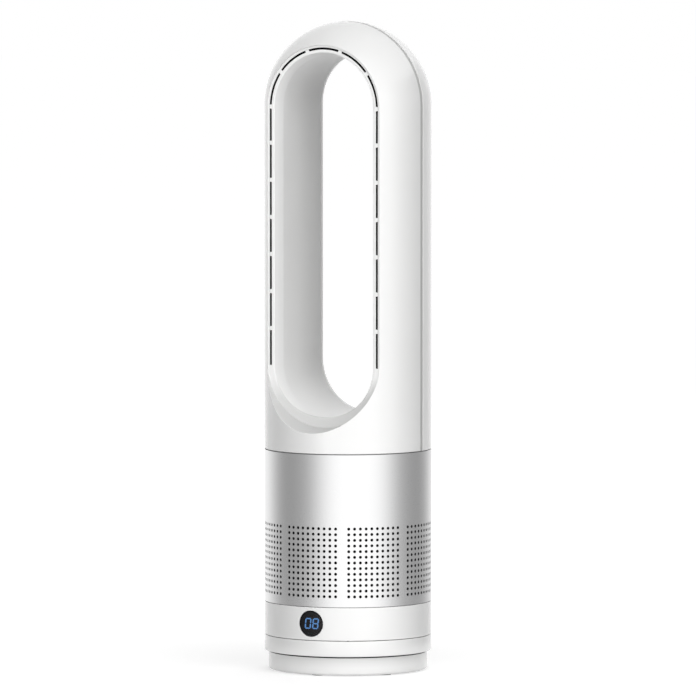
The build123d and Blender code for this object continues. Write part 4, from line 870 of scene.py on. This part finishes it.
def turned(skin, outline, corners, hole=None, walls=(), shade=lambda radius, z: MAIN_FACE):
    """A closed outline of (radius, height) turned about the column's axis. The hole's window is left out of
    the outline's upright edges at the radii in walls."""
    profile = wall_profile(outline, corners, walls, hole.heights() if hole else [])
    turns = circle(TURN_STEPS)
    if hole:
        window = hole.turns()
        rest = 2 * pi - 2 * hole.half_turn
        count = int(TURN_STEPS * rest / (2 * pi))
        turns = window + [window[-1] + rest * k / count for k in range(1, count)]
    for i, (turn, next_turn) in enumerate(around(turns)):
        in_window = hole is not None and i < WINDOW_STEPS
        for (r, z), (next_r, next_z) in around(profile):
            middle_z = (z + next_z) / 2
            if in_window and r == next_r and r in walls and hole.low_z < middle_z < hole.high_z:
                continue
            near = [on_axis(r, z, turn), on_axis(r, z, next_turn)]
            far = [on_axis(next_r, next_z, next_turn), on_axis(next_r, next_z, turn)]
            skin.face(near + far, shade((r + next_r) / 2, middle_z))


def foot():
    """The round tray under the column, with the power inlet's hole at the back."""
    inner, neck_r = FOOT_R - WALL_T, FOOT_R - NECK_INSET
    window_low, window_high = FOOT_LOW_Z + FOOT_ROUND + WINDOW_MARGIN, SHOULDER_Z - WINDOW_MARGIN
    hole = Hole(pi / 2, INLET_Z, INLET_WINDOW / FOOT_R, window_low, window_high)
    outline = [
        (COVER_R, FOOT_LOW_Z),
        (FOOT_R, FOOT_LOW_Z),
        (FOOT_R, SHOULDER_Z),
        (neck_r, SHOULDER_Z),
        (neck_r, FOOT_HIGH_Z),
        (inner, FOOT_HIGH_Z),
        (inner, FOOT_LOW_Z + WALL_T),
        (COVER_R, FOOT_LOW_Z + WALL_T),
    ]

    # the foot's neck above the shoulder takes the near-black painted shadow
    def shade(radius, z):
        return PAINTED_SHADOW_FACE if radius > inner and z > SHOULDER_Z else MAIN_FACE

    skin = Skin()
    turned(skin, outline, {1: even(FOOT_ROUND), 2: even(SHOULDER_EDGE)}, hole, (FOOT_R, inner), shade)
    bearings = hole.bearings(FOOT_R)
    bore = [
        hole.ring_on_wall(INLET_R + INLET_EDGE, FOOT_R, bearings),
        hole.ring_on_wall(INLET_R, FOOT_R - INLET_EDGE, bearings),
        hole.ring_on_wall(INLET_R, inner, bearings),
    ]
    hole.patch(skin, INLET_R + INLET_EDGE, FOOT_R, bearings)
    skin.tube(bore)
    hole.patch(skin, INLET_R, inner, bearings, inward=True)
    skin.piece("foot_shell_skin", FOOT_MATERIALS, "foot", "foot_shell")


def turntable():
    """The skirt that turns on the foot, with its floor and hub."""
    inner, seam = BODY_R - WALL_T, JOINT_GAP / 2
    outline = [
        (BODY_R, SKIRT_Z),
        (BODY_R, BAND_Z - seam),
        (inner, BAND_Z - seam),
        (inner, FLOOR_Z + WALL_T),
        (HUB_IN_R, FLOOR_Z + WALL_T),
        (HUB_IN_R, HUB_LOW_Z),
        (HUB_OUT_R, HUB_LOW_Z),
        (HUB_OUT_R, FLOOR_Z),
        (inner, FLOOR_Z),
        (inner, SKIRT_Z),
    ]
    skin = Skin()
    turned(skin, outline, {0: even(SKIRT_ROUND), 1: even(SOFT_EDGE), 9: even(SOFT_EDGE)})
    skin.piece("turntable_skin", ["white_plastic"], "turret", "turntable")


def control_band():
    """The band round the display, with the display's seat and the tube behind it."""
    inner, seam = BODY_R - WALL_T, JOINT_GAP / 2
    hole = Hole(-pi / 2, LENS_Z, LENS_WINDOW / BODY_R, BAND_Z + seam + SOFT_EDGE, SLEEVE_Z - WALL_T)
    outline = [
        (BODY_R, BAND_Z + seam),
        (BODY_R, SLEEVE_Z - seam),
        (DECK_HOLE_R, SLEEVE_Z - seam),
        (DECK_HOLE_R, SLEEVE_Z - WALL_T),
        (inner, SLEEVE_Z - WALL_T),
        (inner, BAND_Z + seam),
    ]
    corners = {0: even(SOFT_EDGE), 1: even(SOFT_EDGE), 5: even(INNER_EDGE)}
    skin = Skin()
    turned(skin, outline, corners, hole, (BODY_R, inner))
    bearings = hole.bearings(BODY_R)
    middle = SEAT_ROUND * ROUND_MIDDLE
    seat = [
        hole.ring_on_wall(SEAT_R + SEAT_ROUND, BODY_R, bearings),
        hole.ring_on_wall(SEAT_R + middle, BODY_R - middle, bearings),
        hole.ring_on_wall(SEAT_R, BODY_R - SEAT_ROUND, bearings),
        hole.ring_at_depth(SEAT_R, LENS_BACK, bearings),
        hole.ring_at_depth(LEDGE_R, LENS_BACK, bearings),
        hole.ring_at_depth(LEDGE_R, TUBE_BACK, bearings),
        hole.ring_at_depth(TUBE_R, TUBE_BACK, bearings),
        hole.ring_on_wall(TUBE_R, inner, bearings),
    ]
    hole.patch(skin, SEAT_R + SEAT_ROUND, BODY_R, bearings)
    skin.tube(seat)
    hole.patch(skin, TUBE_R, inner, bearings, inward=True)
    skin.piece("control_housing_skin", ["white_plastic"], "turret", "control_housing")


def lens():
    """The display's window: a disc whose face follows the band, with a rounded rim and a black border."""
    hole = Hole(-pi / 2, LENS_Z, LENS_WINDOW / BODY_R, BAND_Z, SLEEVE_Z)
    bearings = circle(LENS_SIDES)
    face_r = BODY_R - LENS_INSET
    rings = [hole.ring_on_wall(LENS_R * share, face_r - depth, bearings) for share, depth in LENS_FACE]
    rings += [hole.ring_at_depth(LENS_R * share, LENS_BACK, bearings) for share in LENS_BACK_SHARES]
    middle, back = on_axis(face_r, LENS_Z, hole.turn), on_axis(LENS_BACK, LENS_Z, hole.turn)
    skin = Skin()
    for (front_a, front_b), (back_a, back_b) in zip(around(rings[0]), around(rings[-1])):
        skin.face((middle, front_a, front_b))
        skin.face((back, back_b, back_a))
    clear = [share for share, _ in LENS_FACE].index(LENS_CLEAR)
    for k, (ring, following) in enumerate(zip(rings, rings[1:])):
        on_border = clear <= k < len(LENS_FACE) - 1
        skin.strip(following, ring, BORDER_FACE if on_border else MAIN_FACE)
    skin.piece("display_lens_glass", LENS_MATERIALS, "turret", "display_lens")


# -------- intake sleeve


def both_sides(skin, spots):
    """A face on the sleeve's outside and its twin on the inside."""
    skin.face(on_wall(BODY_R, spots))
    skin.face(on_wall(SLEEVE_IN_R, spots[::-1]))


def edge_face(skin, first, last):
    """A face across the sleeve's wall, along an edge between two spots."""
    (out_a, out_b), (in_a, in_b) = (on_wall(radius, (first, last)) for radius in (BODY_R, SLEEVE_IN_R))
    skin.face((out_b, in_b, in_a, out_a))


def sleeve_cell(skin, middle, z):
    """One cell of the sleeve's grid with its round hole. Each of the eight stretches of the cell's border
    faces two of the hole's sides."""
    half_w, half_h = COLUMN_STEP / 2, ROW_STEP / 2
    right, left, top, bottom = middle + half_w, middle - half_w, z + half_h, z - half_h
    border = [(right, z), (right, top), (middle, top), (left, top)]
    border += [(left, z), (left, bottom), (middle, bottom), (right, bottom)]
    rim = [(middle + asin(HOLE_R * cos(t) / BODY_R), z + HOLE_R * sin(t)) for t in circle(HOLE_SIDES)]
    for i, (b0, b1) in enumerate(around(border)):
        c0, c1, c2 = rim[2 * i], rim[2 * i + 1], rim[(2 * i + 2) % HOLE_SIDES]
        for spots in ((b0, b1, c1), (b0, c1, c0), (b1, c2, c1)):
            both_sides(skin, spots)
    for first, last in around(rim):
        edge_face(skin, first, last)


def sleeve_field(skin, turns, levels):
    """Plain wall of the sleeve between the given turns and heights."""
    for a, b in zip(turns, turns[1:]):
        for z, next_z in zip(levels, levels[1:]):
            both_sides(skin, ((a, z), (b, z), (b, next_z), (a, next_z)))


def intake_sleeve():
    """A thin tube whose eight panels are punched with round holes."""
    grid_low = SLEEVE_Z + PANEL_LOW - ROW_STEP / 2
    grid_high = grid_low + HOLE_ROWS * ROW_STEP
    rows = [grid_low + ROW_STEP * k / 2 for k in range(2 * HOLE_ROWS + 1)]
    panel_width = COLUMN_STEP * HOLE_COLUMNS
    pitch = 2 * pi / PANELS
    skin = Skin()
    turns = []
    for panel in range(PANELS):
        first = -pi / 2 + panel * pitch - panel_width / 2
        for column in range(HOLE_COLUMNS):
            middle = first + COLUMN_STEP * (column + 0.5)
            for row in range(HOLE_ROWS):
                sleeve_cell(skin, middle, grid_low + ROW_STEP * (row + 0.5))
        plain = [first + panel_width, first + (panel_width + pitch) / 2, first + pitch]
        sleeve_field(skin, plain, rows)
        turns += [first + COLUMN_STEP * k / 2 for k in range(2 * HOLE_COLUMNS + 1)] + [plain[1]]
    turns.append(turns[0] + 2 * pi)
    for levels in ([SLEEVE_LOW_Z, grid_low], spread(grid_high, SLEEVE_TOP_Z, PLAIN_LEVELS)):
        sleeve_field(skin, turns, levels)
    for a, b in zip(turns, turns[1:]):
        edge_face(skin, (b, SLEEVE_LOW_Z), (a, SLEEVE_LOW_Z))
        edge_face(skin, (a, SLEEVE_TOP_Z), (b, SLEEVE_TOP_Z))
    skin.piece("intake_sleeve_skin", ["sleeve_aluminium"], "turret", "intake_sleeve")


# -------- the object


def build_object():
    """Every piece that this script makes. The other nodes show as they are in the frame."""
    head_shells()
    nozzle()
    intake_sleeve()
    foot()
    turntable()
    control_band()
    lens()


def dress_nodes():
    """Gives each node of the frame the material of its slot."""
    for name, obj in frame["nodes"].items():
        obj.data.materials.clear()
        obj.data.materials.append(MATERIALS[SLOT_OF[name]])


# -------- stage

CAMERA_TURN = radians(26.5)
CAMERA_RISE = radians(4.2)
CAMERA_AWAY = 10.0
CAMERA_AIM = Vector((0, 0, 0.3225))
VIEW_WIDTH = 0.6967
SENSOR = 36.0
CLIP_END = 100
LAMPS = (  # name, bearing from the camera's, rise, power
    ("left_light", -30, 8, 29),
    ("right_light", 30, 8, 12),
    ("far_right_light", 60, 8, 12.5),
    ("high_light", 0, 45, 8),
    ("high_right_light", 30, 45, 9.5),
    ("side_light", 90, 45, 3.5),
    ("back_right_light", 150, 45, 9.5),
    ("back_light", 180, 60, 11),
)
LAMP_AIM, LAMP_AWAY, LAMP_SIZE = Vector((0, 0, 0.33)), 2.2, (0.9, 1.6)
BAND_LAMP = ("band_light", 12, 3, 0.11)  # small and near, low in front of the foot
BAND_AIM, BAND_AWAY, BAND_SIZE = Vector((0, 0, 0.04)), 0.36, (0.25, 0.06)
FLOOR_TONE = 0.5
FLOOR_NEAR, FLOOR_FAR = 0.15, 0.9  # distances between which the floor's glow rises to white
FLOOR_GLOW = 0.64
FLOOR_SIZE = 12.0
BACKGROUND_RAYS = ("Is Camera Ray", "Is Glossy Ray", "Is Transmission Ray")
SURROUND_R = 0.3
SURROUND_H = 0.7
SURROUND_STEPS = 96
SURROUND_TOP = 1.2
SURROUND_MID = 9.0  # bearing of the surround's bright middle from the camera's, degrees
SURROUND_STOPS = (  # bearing from that middle, share of the top brightness
    (0, 1.0),
    (22, 1.0),
    (35, 0.84),
    (45, 0.63),
    (52, 0.5),
    (62, 0.35),
    (78, 0.28),
    (96, 0.26),
    (110, 0.42),
    (122, 0.62),
    (140, 0.86),
    (180, 1.0),
)


def aim(obj, target, turn, rise, away):
    """Sets a camera or lamp at a distance from its target, at a turn from the front and a rise."""
    back = Vector((sin(turn) * cos(rise), -cos(turn) * cos(rise), sin(rise)))
    obj.location = target + back * away
    obj.rotation_mode = "QUATERNION"
    obj.rotation_quaternion = (-back).to_track_quat("-Z", "Y")


def camera():
    """A long lens from far away, close to the photograph's parallel view."""
    data = bpy.data.cameras.new("camera")
    data.sensor_width = SENSOR
    data.lens = SENSOR * CAMERA_AWAY / VIEW_WIDTH
    data.clip_end = CLIP_END
    obj = add_object("camera", data)
    aim(obj, CAMERA_AIM, CAMERA_TURN, CAMERA_RISE, CAMERA_AWAY)
    bpy.context.scene.camera = obj


def area_light(name, bearing, rise, power, target, away, size):
    """A soft box that neither the camera nor the gloss shows. In the gloss the surround stands for it."""
    data = bpy.data.lights.new(name, "AREA")
    data.shape = "RECTANGLE"
    data.size, data.size_y = size
    data.energy = power
    obj = add_object(name, data)
    aim(obj, target, CAMERA_TURN + radians(bearing), radians(rise), away)
    obj.visible_camera = False
    obj.visible_glossy = False


def seen_through(tree, kinds):
    """1 for rays of the named kinds and 0 for all others."""
    path = tree.nodes.new("ShaderNodeLightPath")
    seen = path.outputs[kinds[0]]
    for kind in kinds[1:]:
        seen = compute(tree, "MAXIMUM", seen, path.outputs[kind])
    return seen


def stage_material(name):
    """A material without a shader, with its node tree and its output node."""
    material = bpy.data.materials.new(name)
    material.use_nodes = True
    tree = material.node_tree
    tree.nodes.clear()
    return material, tree, tree.nodes.new("ShaderNodeOutputMaterial")


def stage_piece(name, points, faces, material):
    """A piece of the stage, which isn't part of the object."""
    mesh = bpy.data.meshes.new(name)
    mesh.from_pydata(points, [], faces)
    mesh.materials.append(material)
    obj = add_object(name, mesh)
    return obj


def floor():
    """Pale ground that is white to the eye and in reflections, and keeps the object's shadow."""
    material, tree, out = stage_material("floor")
    diffuse = tree.nodes.new("ShaderNodeBsdfDiffuse")
    diffuse.inputs["Color"].default_value = (FLOOR_TONE, FLOOR_TONE, FLOOR_TONE, 1)
    reach = tree.nodes.new("ShaderNodeVectorMath")
    reach.operation = "LENGTH"
    tree.links.new(own_space(tree), reach.inputs[0])
    strength = rescale(tree, reach.outputs["Value"], (FLOOR_NEAR, FLOOR_FAR), (FLOOR_GLOW, 1.0))
    glow = tree.nodes.new("ShaderNodeEmission")
    tree.links.new(strength, glow.inputs["Strength"])
    add = tree.nodes.new("ShaderNodeAddShader")
    tree.links.new(diffuse.outputs[0], add.inputs[0])
    tree.links.new(glow.outputs[0], add.inputs[1])
    mix = tree.nodes.new("ShaderNodeMixShader")
    tree.links.new(seen_through(tree, BACKGROUND_RAYS), mix.inputs[0])
    tree.links.new(diffuse.outputs[0], mix.inputs[1])
    tree.links.new(add.outputs[0], mix.inputs[2])
    tree.links.new(mix.outputs[0], out.inputs["Surface"])
    size = FLOOR_SIZE
    points = [(-size, -size, 0), (size, -size, 0), (size, size, 0), (-size, size, 0)]
    stage_piece("floor", points, [(0, 1, 2, 3)], material)


def surround():
    """A ring that only the object's gloss shows: white in front and behind, dark on both sides."""
    material, tree, out = stage_material("surround")
    axes = own_axes(tree)
    bearing = compute(tree, "ABSOLUTE", compute(tree, "ARCTAN2", axes["X"], axes["Y"]))
    ramp = tree.nodes.new("ShaderNodeValToRGB")
    ramp.color_ramp.interpolation = "B_SPLINE"
    stops = ramp.color_ramp.elements
    for index, (degree, level) in enumerate(SURROUND_STOPS):
        stop = stops[index] if index < 2 else stops.new(degree / 180)
        stop.position = degree / 180
        stop.color = (level, level, level, 1)
    tree.links.new(compute(tree, "DIVIDE", bearing, pi), ramp.inputs[0])
    glow = tree.nodes.new("ShaderNodeEmission")
    tree.links.new(compute(tree, "MULTIPLY", ramp.outputs[0], SURROUND_TOP), glow.inputs["Strength"])
    tree.links.new(glow.outputs[0], out.inputs["Surface"])
    points = []
    for a in circle(SURROUND_STEPS):
        points += [(SURROUND_R * sin(a), SURROUND_R * cos(a), z) for z in (0, SURROUND_H)]
    count = len(points)
    faces = [(i, i + 1, (i + 3) % count, (i + 2) % count) for i in range(0, count, 2)]
    obj = stage_piece("surround", points, faces, material)
    obj.rotation_euler.z = CAMERA_TURN + radians(SURROUND_MID) + pi
    obj.visible_camera = False
    obj.visible_diffuse = False
    obj.visible_shadow = False
    obj.visible_transmission = False


def world():
    """White to the eye and in reflections, and no light on the object."""
    studio = bpy.data.worlds.new("studio")
    studio.use_nodes = True
    bpy.context.scene.world = studio
    tree = studio.node_tree
    background = tree.nodes["Background"]
    background.inputs["Color"].default_value = (1, 1, 1, 1)
    tree.links.new(seen_through(tree, BACKGROUND_RAYS), background.inputs["Strength"])


def stage():
    """Camera, ground, surround, world and lamps."""
    camera()
    floor()
    surround()
    world()
    for lamp in LAMPS:
        area_light(*lamp, LAMP_AIM, LAMP_AWAY, LAMP_SIZE)
    area_light(*BAND_LAMP, BAND_AIM, BAND_AWAY, BAND_SIZE)
    bpy.context.scene.view_settings.view_transform = "Standard"


build_object()
dress_nodes()
stage()
